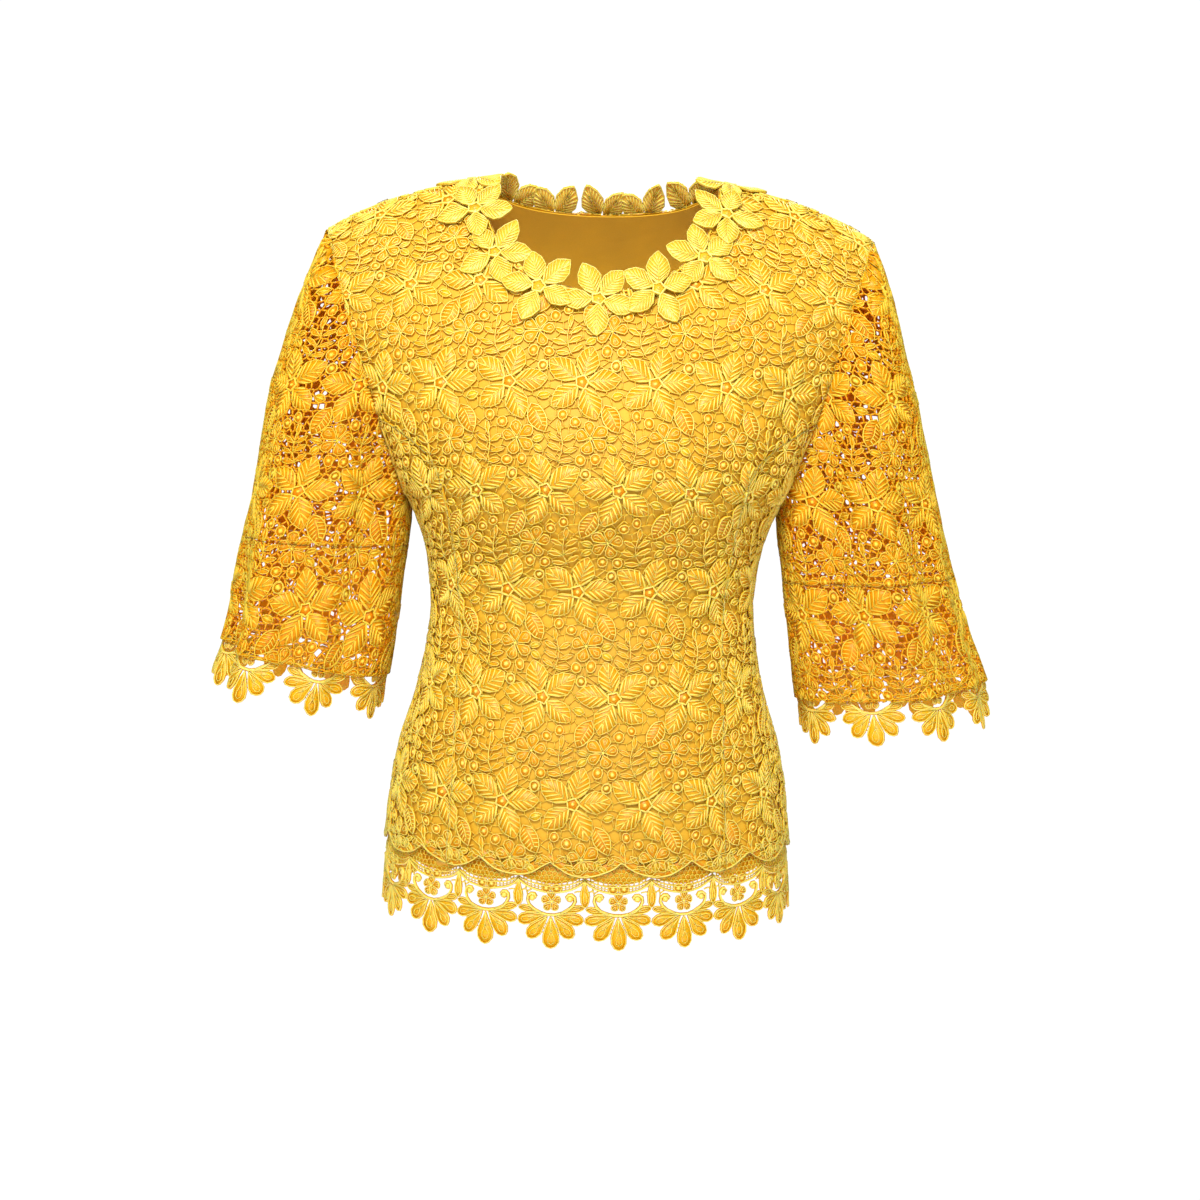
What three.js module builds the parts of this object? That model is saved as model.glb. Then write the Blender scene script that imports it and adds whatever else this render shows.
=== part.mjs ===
// Lace blouse, worn and hollow: round neck, lined body, open bell sleeves, fan edgings.
// Millimetres, +Z up, the front faces -Y. The origin lies midway between the two neck points of
// the shoulder seams. A "drop" is a depth below that level.
import * as THREE from 'three';

// ---- Cloth ---------------------------------------------------------------------------------
const LACE = { inner: 0, outer: 1.2 };          // layers, measured out from the form
const BACKING = { inner: -1.3, outer: -0.3 };   // lining, behind the lace
const EDGING = { inner: -2.0, outer: -1.0 };    // edgings, behind the lace
const APPLIQUE = { inner: 2.6, outer: 3.6 };    // neck trim, on the lace
const SEAM_GAP = 0.3;

// ---- Body ----------------------------------------------------------------------------------
// One row for each level from the shoulder seam down. Above the armpit the half-width comes from
// the armhole. square and turn shape the section: depth = (1 - |x / half-width|^square)^turn.
const BODY_COLUMNS = ['level', 'drop', 'sideDrop', 'half', 'front', 'back', 'square', 'turn', 'seam'];
const BODY_ROWS = [
  ['shoulder seam', -6, 37, 213, 0, 0, 2.0, 1.00, 230],
  ['yoke top', 14, 48, 0, 30, 40, 2.0, 1.00, 230],
  ['yoke', 56, 75, 0, 64, 84, 2.0, 0.95, 230],
  ['upper chest', 108, 115, 0, 96, 108, 2.1, 0.85, 230],
  ['chest', 160, 168, 0, 118, 118, 2.1, 0.72, 182],
  ['bust', 205, 213, 0, 130, 118, 2.2, 0.58, 124],
  ['armpit', 235, 243, 147, 130, 112, 2.2, 0.48, 112],
  ['under bust', 263, 266, 137, 119, 104, 2.2, 0.46, 107],
  ['midriff', 292, 293, 130, 107, 95, 2.2, 0.45, 103],
  ['waist', 332, 332, 127, 101, 88, 2.2, 0.45, 100],
  ['high hip', 388, 387, 135, 109, 97, 2.2, 0.45, 101],
  ['hip', 452, 450, 153, 119, 110, 2.2, 0.45, 103],
  ['hem', 522, 519, 162, 124, 115, 2.2, 0.45, 106],
  ['edging foot', 580, 576, 166, 126, 117, 2.2, 0.45, 108],
];
const SIDE_TOP_WIDTH = 6;  // of a side panel where it begins at the armhole
const NECK_SHARES = [0.4, 0.7, 0.9, 0.98];   // levels beside the neck opening
const LEVEL_STEP = 58;     // the most between two levels below it
const COLUMNS = { [-1]: { centre: 5, side: 3 }, 1: { centre: 6 } };   // of half a front and back
const SCALLOP = { across: 54, rise: 11 };
const HEM_FAN = { across: 51, top: 13, valley: 29, foot: 56, share: 0.94 };

// ---- Neck ----------------------------------------------------------------------------------
const NECK = { half: 92, front: 116, back: 38, round: 2.3 };   // front and back along the cloth
const TRIM = { frontLeaves: 16, backLeaves: 14, over: 13, under: 20, tip: 15, waist: 3 };

// ---- Armhole: a flat oval, leaning outwards at the top --------------------------------------
const ARMHOLE = { tipX: 213, tipDrop: 37, pitX: 147, pitDrop: 243, front: 52, back: 56 };

// ---- Sleeves: one row for each level, right and left outer edges, and depths ----------------
const SLEEVE_COLUMNS = ['level', 'drop', 'inner', 'outerRight', 'outerLeft', 'frontRight', 'frontLeft',
  'backRight', 'backLeft'];
const SLEEVE_ROWS = [
  ['cap top', 37, 213, 213, 213, 0, 0, 0, 0],
  ['cap', 50, 209, 217, 217, 30, 30, 32, 32],
  ['high cap', 78, 200, 228, 229, 48, 48, 52, 52],
  ['cap side', 120, 186, 240, 244, 60, 60, 64, 64],
  ['low cap', 170, 170, 254, 258, 66, 68, 68, 71],
  ['pit', 243, 149, 272, 270, 64, 71, 68, 75],
  ['forearm', 300, 155, 289, 283, 62, 72, 66, 77],
  ['flare', 350, 163, 306, 292, 62, 74, 67, 79],
  ['cuff', 385, 168, 320, 304, 63, 76, 68, 81],
  ['edging foot', 425, 173, 330, 313, 64, 78, 69, 83],
];
const SLEEVES = {
  right: { side: 1, join: 300, cuff: 384, tilt: 16 },
  left: { side: -1, join: 278, cuff: 362, tilt: 26 },
};
const SLEEVE_RADIUS = 66;   // about the middle of a sleeve, for the depth of its folds
const CUFF_FAN = { count: 8, top: 12, valley: 12, foot: 34, share: 0.94 };

// Soft folds of the sleeves. at and wide are degrees round the sleeve from its outermost line,
// minus towards the front; deep is a trough, minus a ridge; from and to are drops.
const SLEEVE_FOLDS = {
  right: [
    { at: -118, wide: 17, deep: 7, from: 110, to: 330 },
    { at: -84, wide: 15, deep: -4, from: 150, to: 440 },
    { at: -52, wide: 13, deep: 5, from: 190, to: 470 },
    { at: -20, wide: 14, deep: 4, from: 240, to: 480 },
    { at: 48, wide: 17, deep: 6, from: 170, to: 460 },
    { at: 104, wide: 18, deep: 7, from: 140, to: 440 },
  ],
  left: [
    { at: -126, wide: 15, deep: 6, from: 150, to: 400 },
    { at: -92, wide: 16, deep: 6, from: 250, to: 470 },
    { at: -60, wide: 14, deep: -4, from: 200, to: 470 },
    { at: -34, wide: 12, deep: 7, from: 260, to: 480 },
    { at: 40, wide: 18, deep: 5, from: 180, to: 450 },
    { at: 98, wide: 17, deep: 7, from: 150, to: 460 },
  ],
};

// Soft folds of the body as troughs between two places (x, drop), on the front (minus) or back.
const BODY_FOLDS = [
  { face: -1, x0: 168, d0: 128, x1: 118, d1: 262, wide: 13, deep: 4.5 },
  { face: -1, x0: -166, d0: 150, x1: -112, d1: 250, wide: 12, deep: 3.5 },
  { face: -1, x0: 136, d0: 300, x1: 66, d1: 352, wide: 11, deep: 3 },
  { face: -1, x0: -134, d0: 312, x1: -72, d1: 372, wide: 10, deep: 3 },
  { face: -1, x0: -92, d0: 398, x1: -112, d1: 560, wide: 15, deep: 3.5 },
  { face: -1, x0: 98, d0: 410, x1: 120, d1: 560, wide: 13, deep: 3.5 },
  { face: 1, x0: -150, d0: 150, x1: -70, d1: 250, wide: 15, deep: 4 },
  { face: 1, x0: 142, d0: 160, x1: 60, d1: 240, wide: 14, deep: 4 },
  { face: 1, x0: -120, d0: 330, x1: 10, d1: 318, wide: 11, deep: 4 },
  { face: 1, x0: 124, d0: 352, x1: -24, d1: 348, wide: 10, deep: 3.5 },
  { face: 1, x0: 40, d0: 420, x1: 64, d1: 570, wide: 17, deep: 5 },
  { face: 1, x0: -56, d0: 440, x1: -80, d1: 570, wide: 16, deep: 4 },
];

// ---- Materials -----------------------------------------------------------------------------
const FINISH = {
  lace: { color: 0xf2c230, roughness: 0.62, metalness: 0 },
  sleeve: { color: 0xe8a51c, roughness: 0.62, metalness: 0 },
  lining: { color: 0xd7a83c, roughness: 0.5, metalness: 0 },
  trim: { color: 0xf8d454, roughness: 0.55, metalness: 0 },
};

// ---- Curves through table rows ---------------------------------------------------------------
const clamp = THREE.MathUtils.clamp;

/** A table as one object for each row. */
function named(columns, rows) {
  return rows.map((row) => Object.fromEntries(columns.map((column, i) => [column, row[i]])));
}

/** A smooth curve through values at increasing knots. */
function smooth(knots, values) {
  const last = knots.length - 1;
  const slopes = knots.map((_, i) => {
    const a = Math.max(i - 1, 0);
    const b = Math.min(i + 1, last);
    return (values[b] - values[a]) / (knots[b] - knots[a]);
  });
  return (at) => {
    let i = 0;
    while (i < last - 1 && at > knots[i + 1]) i += 1;
    const span = knots[i + 1] - knots[i];
    const t = clamp((at - knots[i]) / span, 0, 1);
    const t2 = t * t;
    const t3 = t2 * t;
    return values[i] * (2 * t3 - 3 * t2 + 1) + slopes[i] * span * (t3 - 2 * t2 + t)
      + values[i + 1] * (3 * t2 - 2 * t3) + slopes[i + 1] * span * (t3 - t2);
  };
}

/** 0 before from, 1 after to, smooth between. */
function ease(from, to, at) {
  return THREE.MathUtils.smoothstep(at, from, to);
}

// ---- The body's form ---------------------------------------------------------------------------
/** The armhole's edge at a drop: its x and its depth, front or back. */
function armhole(drop, face) {
  const mid = (ARMHOLE.tipDrop + ARMHOLE.pitDrop) / 2;
  const lean = clamp((mid - drop) / (ARMHOLE.pitDrop - mid), -1, 1);
  const x = (ARMHOLE.tipX + ARMHOLE.pitX) / 2 + lean * (ARMHOLE.tipX - ARMHOLE.pitX) / 2;
  const depth = (face < 0 ? ARMHOLE.front : ARMHOLE.back) * Math.sqrt(1 - lean * lean);
  return { x, y: face * depth };
}

const bodyRows = named(BODY_COLUMNS, BODY_ROWS).map((row) => ({
  ...row,
  half: row.sideDrop < ARMHOLE.pitDrop ? armhole(row.sideDrop, -1).x : row.half,
}));

// down is the way along the cloth of the front, from the shoulder seam, 105 mm from the centre.
const GAUGE = 105;
bodyRows.forEach((row, i) => {
  const share = GAUGE / row.half;
  const edge = row.sideDrop < ARMHOLE.pitDrop ? -armhole(row.sideDrop, -1).y : 0;
  row.gaugeY = -(edge + (row.front - edge) * (1 - share ** row.square) ** row.turn);
  row.gaugeZ = -(row.drop + (row.sideDrop - row.drop) * share ** 3);
  const before = bodyRows[i - 1];
  const step = before ? Math.hypot(row.gaugeY - before.gaugeY, row.gaugeZ - before.gaugeZ) : 0;
  row.down = before ? before.down + step : 0;
});
const DOWN = Object.fromEntries(bodyRows.map((row) => [row.level, row.down]));

/** A column of the body as a curve over down, minus down on the back. */
function bodyCurve(front, back) {
  const behind = bodyRows.slice(1).reverse();
  const knots = [...behind.map((row) => -row.down), ...bodyRows.map((row) => row.down)];
  return smooth(knots, [...behind.map(back), ...bodyRows.map(front)]);
}
const same = (column) => bodyCurve((row) => row[column], (row) => row[column]);
const body = {
  drop: same('drop'),
  sideDrop: same('sideDrop'),
  half: same('half'),
  square: same('square'),
  turn: same('turn'),
  seam: same('seam'),
  depth: bodyCurve((row) => -row.front, (row) => row.back),
};

/** How far a fold sinks the cloth at a place. */
function bodyFold(face, x, drop) {
  let sunk = 0;
  for (const fold of BODY_FOLDS) {
    if (fold.face !== face) continue;
    const alongX = fold.x1 - fold.x0;
    const alongD = fold.d1 - fold.d0;
    const long = Math.hypot(alongX, alongD);
    const t = ((x - fold.x0) * alongX + (drop - fold.d0) * alongD) / (long * long);
    const off = ((x - fold.x0) * alongD - (drop - fold.d0) * alongX) / long;
    const fade = ease(-0.15, 0.35, t) * (1 - ease(0.65, 1.15, t));
    sunk += fold.deep * fade * Math.exp(-((off / fold.wide) ** 2));
  }
  return sunk;
}

/** A point of the body: share is -1 to 1 across, down is the way from the shoulder seam. */
function bodyPoint(share, down) {
  const face = down < 0 ? 1 : -1;
  const sideDrop = body.sideDrop(down);
  const open = sideDrop < ARMHOLE.pitDrop && Math.abs(down) < DOWN.armpit;
  const edge = open ? armhole(sideDrop, face) : { x: body.half(down), y: 0 };
  const s = Math.min(Math.abs(share), 1);
  const x = edge.x * share;
  const drop = body.drop(down) + (sideDrop - body.drop(down)) * s ** 3;
  const shape = Math.max(1 - s ** body.square(down), 0) ** body.turn(down);
  const depth = body.depth(down) - edge.y;
  const sunk = bodyFold(face, x, drop) * ease(0, 0.25, 1 - s) * ease(20, 60, Math.abs(down));
  return new THREE.Vector3(x, edge.y + depth * shape - face * sunk, -drop);
}

/** The outward normal of a form at (a, b), from points near it. */
function normalOf(point, a, b, stepA, stepB, limitA) {
  const a0 = Math.max(a - stepA, -limitA);
  const a1 = Math.min(a + stepA, limitA);
  const across = point(a1, b).sub(point(a0, b));
  const along = point(a, b + stepB).sub(point(a, b - stepB));
  return along.cross(across).normalize();
}
const bodyNormal = (share, down) => normalOf(bodyPoint, share, down, 0.004, 1.5, 1);

const SAMPLES = 72;
const arcs = new Map();

/** Lengths along the cloth from the centre to the side at one down, with their shares. */
function arcAt(down) {
  const key = down.toFixed(3);
  if (!arcs.has(key)) {
    const table = [{ share: 0, long: 0 }];
    let before = bodyPoint(0, down);
    for (let i = 1; i <= SAMPLES; i += 1) {
      const share = Math.sin((i / SAMPLES) * Math.PI / 2);
      const here = bodyPoint(share, down);
      table.push({ share, long: table[i - 1].long + here.distanceTo(before) });
      before = here;
    }
    arcs.set(key, table);
  }
  return arcs.get(key);
}

/** The share of the half-width that lies a length u from the centre line. */
function shareAt(u, down) {
  const table = arcAt(down);
  const long = Math.abs(u);
  let i = 1;
  while (i < SAMPLES && table[i].long < long) i += 1;
  const t = clamp((long - table[i - 1].long) / (table[i].long - table[i - 1].long), 0, 1);
  return Math.sign(u) * (table[i - 1].share + t * (table[i].share - table[i - 1].share));
}
const halfLength = (down) => arcAt(down)[SAMPLES].long;

/** The length from the centre line to a share of the half-width. */
function lengthAt(share, down) {
  const table = arcAt(down);
  let i = 1;
  while (i < SAMPLES && table[i].share < share) i += 1;
  const t = (share - table[i - 1].share) / (table[i].share - table[i - 1].share);
  return table[i - 1].long + t * (table[i].long - table[i - 1].long);
}

// ---- The sleeves' form -------------------------------------------------------------------------
const sleeveRows = named(SLEEVE_COLUMNS, SLEEVE_ROWS);
const sleeveDrops = sleeveRows.map((row) => row.drop);
const sleeveCurve = (column) => smooth(sleeveDrops, sleeveRows.map((row) => row[column]));

/** The form of one sleeve. round is -1 (inner line, by the front) to 1 (inner line, by the back). */
function sleeveForm(name) {
  const { side, cuff, tilt } = SLEEVES[name];
  const suffix = side > 0 ? 'Right' : 'Left';
  const curve = {
    inner: sleeveCurve('inner'),
    outer: sleeveCurve(`outer${suffix}`),
    front: sleeveCurve(`front${suffix}`),
    back: sleeveCurve(`back${suffix}`),
  };
  return (round, drop) => {
    const face = round < 0 ? -1 : 1;
    const cut = drop < ARMHOLE.pitDrop;
    const edge = cut ? armhole(drop, face) : { x: curve.inner(drop), y: 0 };
    const depth = Math.max(face < 0 ? curve.front(drop) : curve.back(drop), Math.abs(edge.y) + 0.5);
    const end = cut ? Math.PI - Math.asin(clamp(Math.abs(edge.y) / depth, 0, 1)) : Math.PI;
    const angle = end * Math.abs(round);
    const outer = Math.max(curve.outer(drop), edge.x + 0.2);
    const reach = (outer - edge.x) / (1 - Math.cos(end));
    const degrees = face * THREE.MathUtils.radToDeg(angle);
    let swell = 1;
    for (const fold of SLEEVE_FOLDS[name]) {
      const fade = ease(fold.from, fold.from + 90, drop) * (1 - ease(fold.to, fold.to + 90, drop));
      const off = (degrees - fold.at) / fold.wide;
      swell -= (fold.deep / SLEEVE_RADIUS) * fade * Math.exp(-off * off);
    }
    const middle = outer - reach;
    const x = middle + reach * Math.cos(angle) * swell;
    const y = face * depth * Math.sin(angle) * swell;
    const lower = tilt * ease(ARMHOLE.pitDrop, cuff, drop) * (1 - Math.cos(angle)) / 2;
    return new THREE.Vector3(side * x, y, -drop - lower);
  };
}

// ---- Walls ---------------------------------------------------------------------------------------
/** A sheet of triangles between polylines of sheet points, ready to be given a wall. */
class Sheet {
  constructor() {
    this.points = [];
    this.byKey = new Map();
    this.triangles = [];
  }

  /** The index of a point with its normal, the same for points that share a place. */
  add(place, normal) {
    const key = place.toArray().map((value) => Math.round(value * 100)).join();
    if (!this.byKey.has(key)) {
      this.byKey.set(key, this.points.length);
      this.points.push({ place, normal });
    }
    return this.byKey.get(key);
  }

  triangle(a, b, c) {
    if (a !== b && b !== c && c !== a) this.triangles.push([a, b, c]);
  }

  /** Triangles between an upper and a lower polyline, seen from outside, left to right. */
  bridge(upper, lower) {
    if (upper.length === lower.length) {
      for (let i = 0; i < upper.length - 1; i += 1) {
        this.triangle(upper[i], lower[i], lower[i + 1]);
        this.triangle(upper[i], lower[i + 1], upper[i + 1]);
      }
      return;
    }
    const longs = [upper, lower].map((line) => {
      const longSoFar = [0];
      for (let i = 1; i < line.length; i += 1) {
        const step = this.points[line[i]].place.distanceTo(this.points[line[i - 1]].place);
        longSoFar.push(longSoFar[i - 1] + step);
      }
      const all = longSoFar[line.length - 1] || 1;
      return longSoFar.map((value) => value / all);
    });
    let i = 0;
    let j = 0;
    while (i < upper.length - 1 || j < lower.length - 1) {
      const nextUpper = i < upper.length - 1 ? longs[0][i] + longs[0][i + 1] : Infinity;
      const nextLower = j < lower.length - 1 ? longs[1][j] + longs[1][j + 1] : Infinity;
      if (nextUpper < nextLower) {
        this.triangle(upper[i], lower[j], upper[i + 1]);
        i += 1;
      } else {
        this.triangle(upper[i], lower[j], lower[j + 1]);
        j += 1;
      }
    }
  }

  /** A closed wall between two distances from the sheet, with a rim along every free edge. */
  wall(layer, trim = null) {
    const positions = [];
    for (const distance of [layer.outer, layer.inner]) {
      for (const { place, normal } of this.points) {
        const at = place.clone().addScaledVector(normal, distance);
        positions.push(...(trim ? trim(place, at) : at).toArray());
      }
    }
    const count = this.points.length;
    const index = [];
    const edges = new Map();
    for (const [a, b, c] of this.triangles) {
      index.push(a, b, c, a + count, c + count, b + count);
      for (const [from, to] of [[a, b], [b, c], [c, a]]) {
        const back = `${to},${from}`;
        if (edges.has(back)) edges.delete(back);
        else edges.set(`${from},${to}`, [from, to]);
      }
    }
    for (const [from, to] of edges.values()) {
      index.push(to, from, from + count, to, from + count, to + count);
    }
    const geometry = new THREE.BufferGeometry();
    geometry.setAttribute('position', new THREE.Float32BufferAttribute(positions, 3));
    geometry.setIndex(index);
    geometry.computeVertexNormals();
    return geometry;
  }
}

/** Whole steps from one number to another. */
function steps(from, to, count) {
  return Array.from({ length: count + 1 }, (_, i) => from + (to - from) * (i / count));
}

/** A place of the body u mm from the centre line and down mm from the shoulder seam. */
function onBody(sheet, u, down) {
  const share = shareAt(u, down);
  return sheet.add(bodyPoint(share, down), bodyNormal(share, down));
}

/** The armhole's plane: cloth of the body stays behind it and cloth of the sleeve before it. */
const leanX = ARMHOLE.tipX - ARMHOLE.pitX;
const leanZ = ARMHOLE.pitDrop - ARMHOLE.tipDrop;
const armholeOut = new THREE.Vector3(leanZ, 0, -leanX).normalize();
const armholeTip = new THREE.Vector3(ARMHOLE.tipX, 0, -ARMHOLE.tipDrop);

/** Moves what is made at the armhole's edge to its own side of the armhole's plane. */
function flushAtArmhole(own) {
  return (place, at) => {
    const side = Math.sign(place.x);
    const out = armholeOut.clone().setX(armholeOut.x * side);
    const tip = armholeTip.clone().setX(armholeTip.x * side);
    const onEdge = Math.abs(place.clone().sub(tip).dot(out)) < 0.75 && place.z > -ARMHOLE.pitDrop - 2;
    const past = at.clone().sub(tip).dot(out) * own;
    const room = SEAM_GAP / 2 + 0.05;
    if (onEdge && past < room) at.addScaledVector(out, own * (room - past));
    return at;
  };
}

// ---- Body panels -------------------------------------------------------------------------------
const FRONT = -1;
const BACK = 1;
const neckDepth = (face) => (face === FRONT ? NECK.front : NECK.back);

/** Half the neck opening's width at a way down from the shoulder seam. */
function neckHalf(face, down) {
  const t = Math.min(down / neckDepth(face), 1);
  return NECK.half * Math.max(1 - t ** NECK.round, 0) ** (1 / NECK.round);
}

/** The length from the centre line to the princess seam, or none above the side panel. */
function seamLength(down) {
  const half = body.half(down);
  const seam = body.seam(down);
  return seam < half - SIDE_TOP_WIDTH ? lengthAt(seam / half, down) : Infinity;
}

/** Where the front side panels begin at the armhole. */
function sideTop() {
  let down = DOWN.armpit;
  while (seamLength(down - 1) < Infinity) down -= 1;
  return down;
}

/** The levels of a front or back: close together at the shoulder and the neck, then evenly. */
function levels(face, foot) {
  const neck = neckDepth(face);
  const tops = [SEAM_GAP / 2, 10, 22, ...NECK_SHARES.map((share) => share * neck), neck];
  const found = tops.filter((down, i) => i < 3 || down > 30);
  const marks = bodyRows.map((row) => row.down);
  marks.push(DOWN.hem - HEM_FAN.top, foot);
  if (face === FRONT) marks.push(sideTop());
  marks.sort((p, q) => p - q);
  for (const mark of marks) {
    const last = found[found.length - 1];
    if (mark > last + 11 && mark <= foot) {
      found.push(...steps(last, mark, Math.ceil((mark - last) / LEVEL_STEP)).slice(1));
    }
  }
  return found;
}

/** How far the hem's scallops rise at a length from the centre line. */
function scallopRise(u) {
  const t = Math.abs(u / SCALLOP.across - Math.round(u / SCALLOP.across)) * 2;
  return SCALLOP.rise * t ** 2.2;
}

/** Lengths along the hem, with six steps to a scallop. */
function hemLengths(from, to) {
  const fine = SCALLOP.across / 6;
  const found = [from];
  for (let u = (Math.floor((from + 3) / fine) + 1) * fine; u < to - 3; u += fine) found.push(u);
  return [...found, to];
}

/**
 * A sheet of the front or back. parts are centre, side or both, sides are 1, -1 or both, gap is
 * what each part leaves free at the princess seam, and a laced sheet ends in scallops.
 */
function bodySheet(face, { foot, parts, sides, gap, laced }) {
  const sheet = new Sheet();
  const lines = new Map();
  for (const level of levels(face, foot)) {
    const down = -face * level;
    const end = halfLength(down) - SEAM_GAP;
    const seam = face === FRONT ? seamLength(down) : Infinity;
    const neck = level < neckDepth(face) ? lengthAt(neckHalf(face, level) / body.half(down), down) : 0;
    const reach = {
      centre: [neck, Math.min(end, seam - gap)],
      side: seam < end ? [seam + gap, end] : null,
    };
    const scalloped = level > DOWN.hem - HEM_FAN.top - 1;
    for (const part of parts) {
      for (const side of sides) {
        if (!reach[part]) continue;
        const [from, to] = reach[part];
        const across = scalloped ? hemLengths(from, to) : steps(from, to, COLUMNS[face][part]);
        const line = across.map((u) => {
          const rise = laced && level === foot ? scallopRise(u) : 0;
          return onBody(sheet, side * u, down + face * rise);
        });
        if (side === face) line.reverse();
        const key = part + side;
        if (lines.has(key)) sheet.bridge(lines.get(key), line);
        lines.set(key, line);
      }
    }
  }
  return sheet;
}

// ---- Edgings -------------------------------------------------------------------------------------
/** How far an edging reaches at t fans along it: valleys between the fans, and petals on them. */
function fanReach(fan, t) {
  const off = Math.abs(t - Math.round(t)) * 2 / fan.share;
  const crown = Math.max(1 - off ** 2.4, 0) ** 0.5;
  return fan.valley + (fan.foot - fan.valley) * crown;
}
const FAN_STEPS = [-0.5, -0.46, -0.28, 0, 0.28, 0.46];

/** The hem edging: one band all round, from behind the lace hem to the fans' tips. */
function hemEdging() {
  const sheet = new Sheet();
  const start = DOWN.hem - HEM_FAN.top + SEAM_GAP;
  const frontHalf = halfLength(DOWN.hem);
  const backHalf = halfLength(-DOWN.hem);
  const fans = Math.round((frontHalf + backHalf) * 2 / HEM_FAN.across);
  const pitch = (frontHalf + backHalf) * 2 / fans;
  /** A point a length round from the centre front, to the right, seen from outside. */
  const at = (round, down) => {
    const all = (frontHalf + backHalf) * 2;
    const u = ((round + all / 2) % all + all) % all - all / 2;
    const onFront = Math.abs(u) <= frontHalf;
    const fromBack = frontHalf + backHalf - Math.abs(u);
    const share = onFront ? u / frontHalf : Math.sign(u) * fromBack / backHalf;
    const sign = onFront ? 1 : -1;
    const whole = halfLength(sign * down);
    return onBody(sheet, share * whole, sign * down);
  };
  const rounds = [];
  for (let i = 0; i < fans; i += 1) rounds.push(...FAN_STEPS.map((step) => (i + 0.5 + step) * pitch));
  const loop = (reach) => {   // the centre line falls between two fans
    const line = rounds.map((round) => at(round, reach(round / pitch + 0.5)));
    return [...line, line[0]];
  };
  sheet.bridge(loop(() => start), loop((t) => DOWN.hem + fanReach(HEM_FAN, t)));
  return sheet;
}

/** The places round a sleeve, -1 to 1, where the cuff's fans have their corners. */
function fanRounds() {
  const found = [];
  for (let i = 0; i < CUFF_FAN.count; i += 1) {
    found.push(...FAN_STEPS.map((step) => ((i + 0.5 + step) / CUFF_FAN.count) * 2 - 1));
  }
  return [...found, 1];
}

/** A cuff edging: a band round the cuff, from behind the sleeve to the fans' tips. */
function cuffEdging(name) {
  const form = sleeveForm(name);
  const { side, cuff } = SLEEVES[name];
  const sheet = new Sheet();
  const loop = (reach) => fanRounds().map((round) => {
    const fans = ((round + 1) / 2) * CUFF_FAN.count + 0.5;
    return onSleeve(sheet, form, side, round, cuff + reach(fans));
  });
  sheet.bridge(loop(() => -CUFF_FAN.top), loop((t) => fanReach(CUFF_FAN, t)));
  return sheet;
}

// ---- Sleeve pieces -------------------------------------------------------------------------------
/** A place of a sleeve, with its normal; the left sleeve's sheet runs the other way round. */
function onSleeve(sheet, form, side, round, drop) {
  const share = round * side;
  const near = 0.006;
  const turn = (value) => (value > 1 ? value - 2 : value < -1 ? value + 2 : value);
  const closed = drop >= ARMHOLE.pitDrop;
  const a0 = closed ? turn(share - near) : Math.max(share - near, -1);
  const a1 = closed ? turn(share + near) : Math.min(share + near, 1);
  const across = form(a1, drop).sub(form(a0, drop));
  const along = form(share, drop + 1).sub(form(share, Math.max(drop - 1, ARMHOLE.tipDrop)));
  const normal = along.cross(across).normalize().multiplyScalar(side);
  return sheet.add(form(share, drop), normal);
}

/** A length of sleeve between two drops, open along the armhole and closed below it. */
function sleevePiece(name, drops) {
  const form = sleeveForm(name);
  const { side, cuff } = SLEEVES[name];
  const sheet = new Sheet();
  let line = null;
  for (const drop of drops) {
    const rounds = drop > cuff - CUFF_FAN.top - 1 ? fanRounds() : steps(-1, 1, SLEEVE_STEPS);
    const next = rounds.map((round) => onSleeve(sheet, form, side, round, drop));
    if (line) sheet.bridge(line, next);
    line = next;
  }
  return sheet;
}

const CAP_DROPS = [38, 44, 54, 70, 92, 120, 152, 186, 216, 234, 243.5];
const SLEEVE_STEPS = 20;   // round a sleeve

// ---- Neck trim -----------------------------------------------------------------------------------
/** The neck edge of the front or back at an angle from the left shoulder: x and the way down. */
function neckEdge(face, angle) {
  const power = 2 / NECK.round;
  const across = -Math.sign(Math.cos(angle)) * Math.abs(Math.cos(angle)) ** power;
  return { x: across * NECK.half, down: Math.sin(angle) ** power * neckDepth(face) };
}

/** A place a length out from a place of the neck edge. */
function besideNeck(sheet, face, { x, down }, out) {
  const away = new THREE.Vector2(
    Math.sign(x) * (Math.abs(x) / NECK.half) ** (NECK.round - 1) / NECK.half,
    (down / neckDepth(face)) ** (NECK.round - 1) / neckDepth(face),
  ).normalize();
  const level = -face * Math.max(down + away.y * out, SEAM_GAP / 2);
  const share = (x + away.x * out) / body.half(level);
  return sheet.add(bodyPoint(share, level), bodyNormal(share, level));
}

/** Places at even steps along the neck edge. */
function evenlyAtNeck(face, count) {
  const fine = steps(0, Math.PI, 400).map((angle) => neckEdge(face, angle));
  const longs = [0];
  for (let i = 1; i < fine.length; i += 1) {
    longs.push(longs[i - 1] + Math.hypot(fine[i].x - fine[i - 1].x, fine[i].down - fine[i - 1].down));
  }
  return steps(0, longs[longs.length - 1], count).map((long) => {
    const i = longs.findIndex((value) => value >= long - 1e-6);
    return fine[i];
  });
}

/** The neck trim of the front or the back, with leaf tips on both of its edges. */
function neckTrim(face) {
  const sheet = new Sheet();
  const leaves = face === FRONT ? TRIM.frontLeaves : TRIM.backLeaves;
  const edge = evenlyAtNeck(face, leaves * 2);
  const tip = (i) => (i % 2 ? 1 : 0);
  const outs = [
    (i) => -TRIM.waist - TRIM.over * tip(i),
    () => TRIM.under * 0.25,
    () => TRIM.under * 0.65,
    () => TRIM.under,
    (i) => TRIM.under + TRIM.tip * tip(i),
  ];
  const rows = outs.map((out) => edge.map((place, i) => besideNeck(sheet, face, place, out(i))));
  if (face === BACK) rows.forEach((row) => row.reverse());
  for (let i = 1; i < rows.length; i += 1) sheet.bridge(rows[i - 1], rows[i]);
  return sheet;
}

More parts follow.
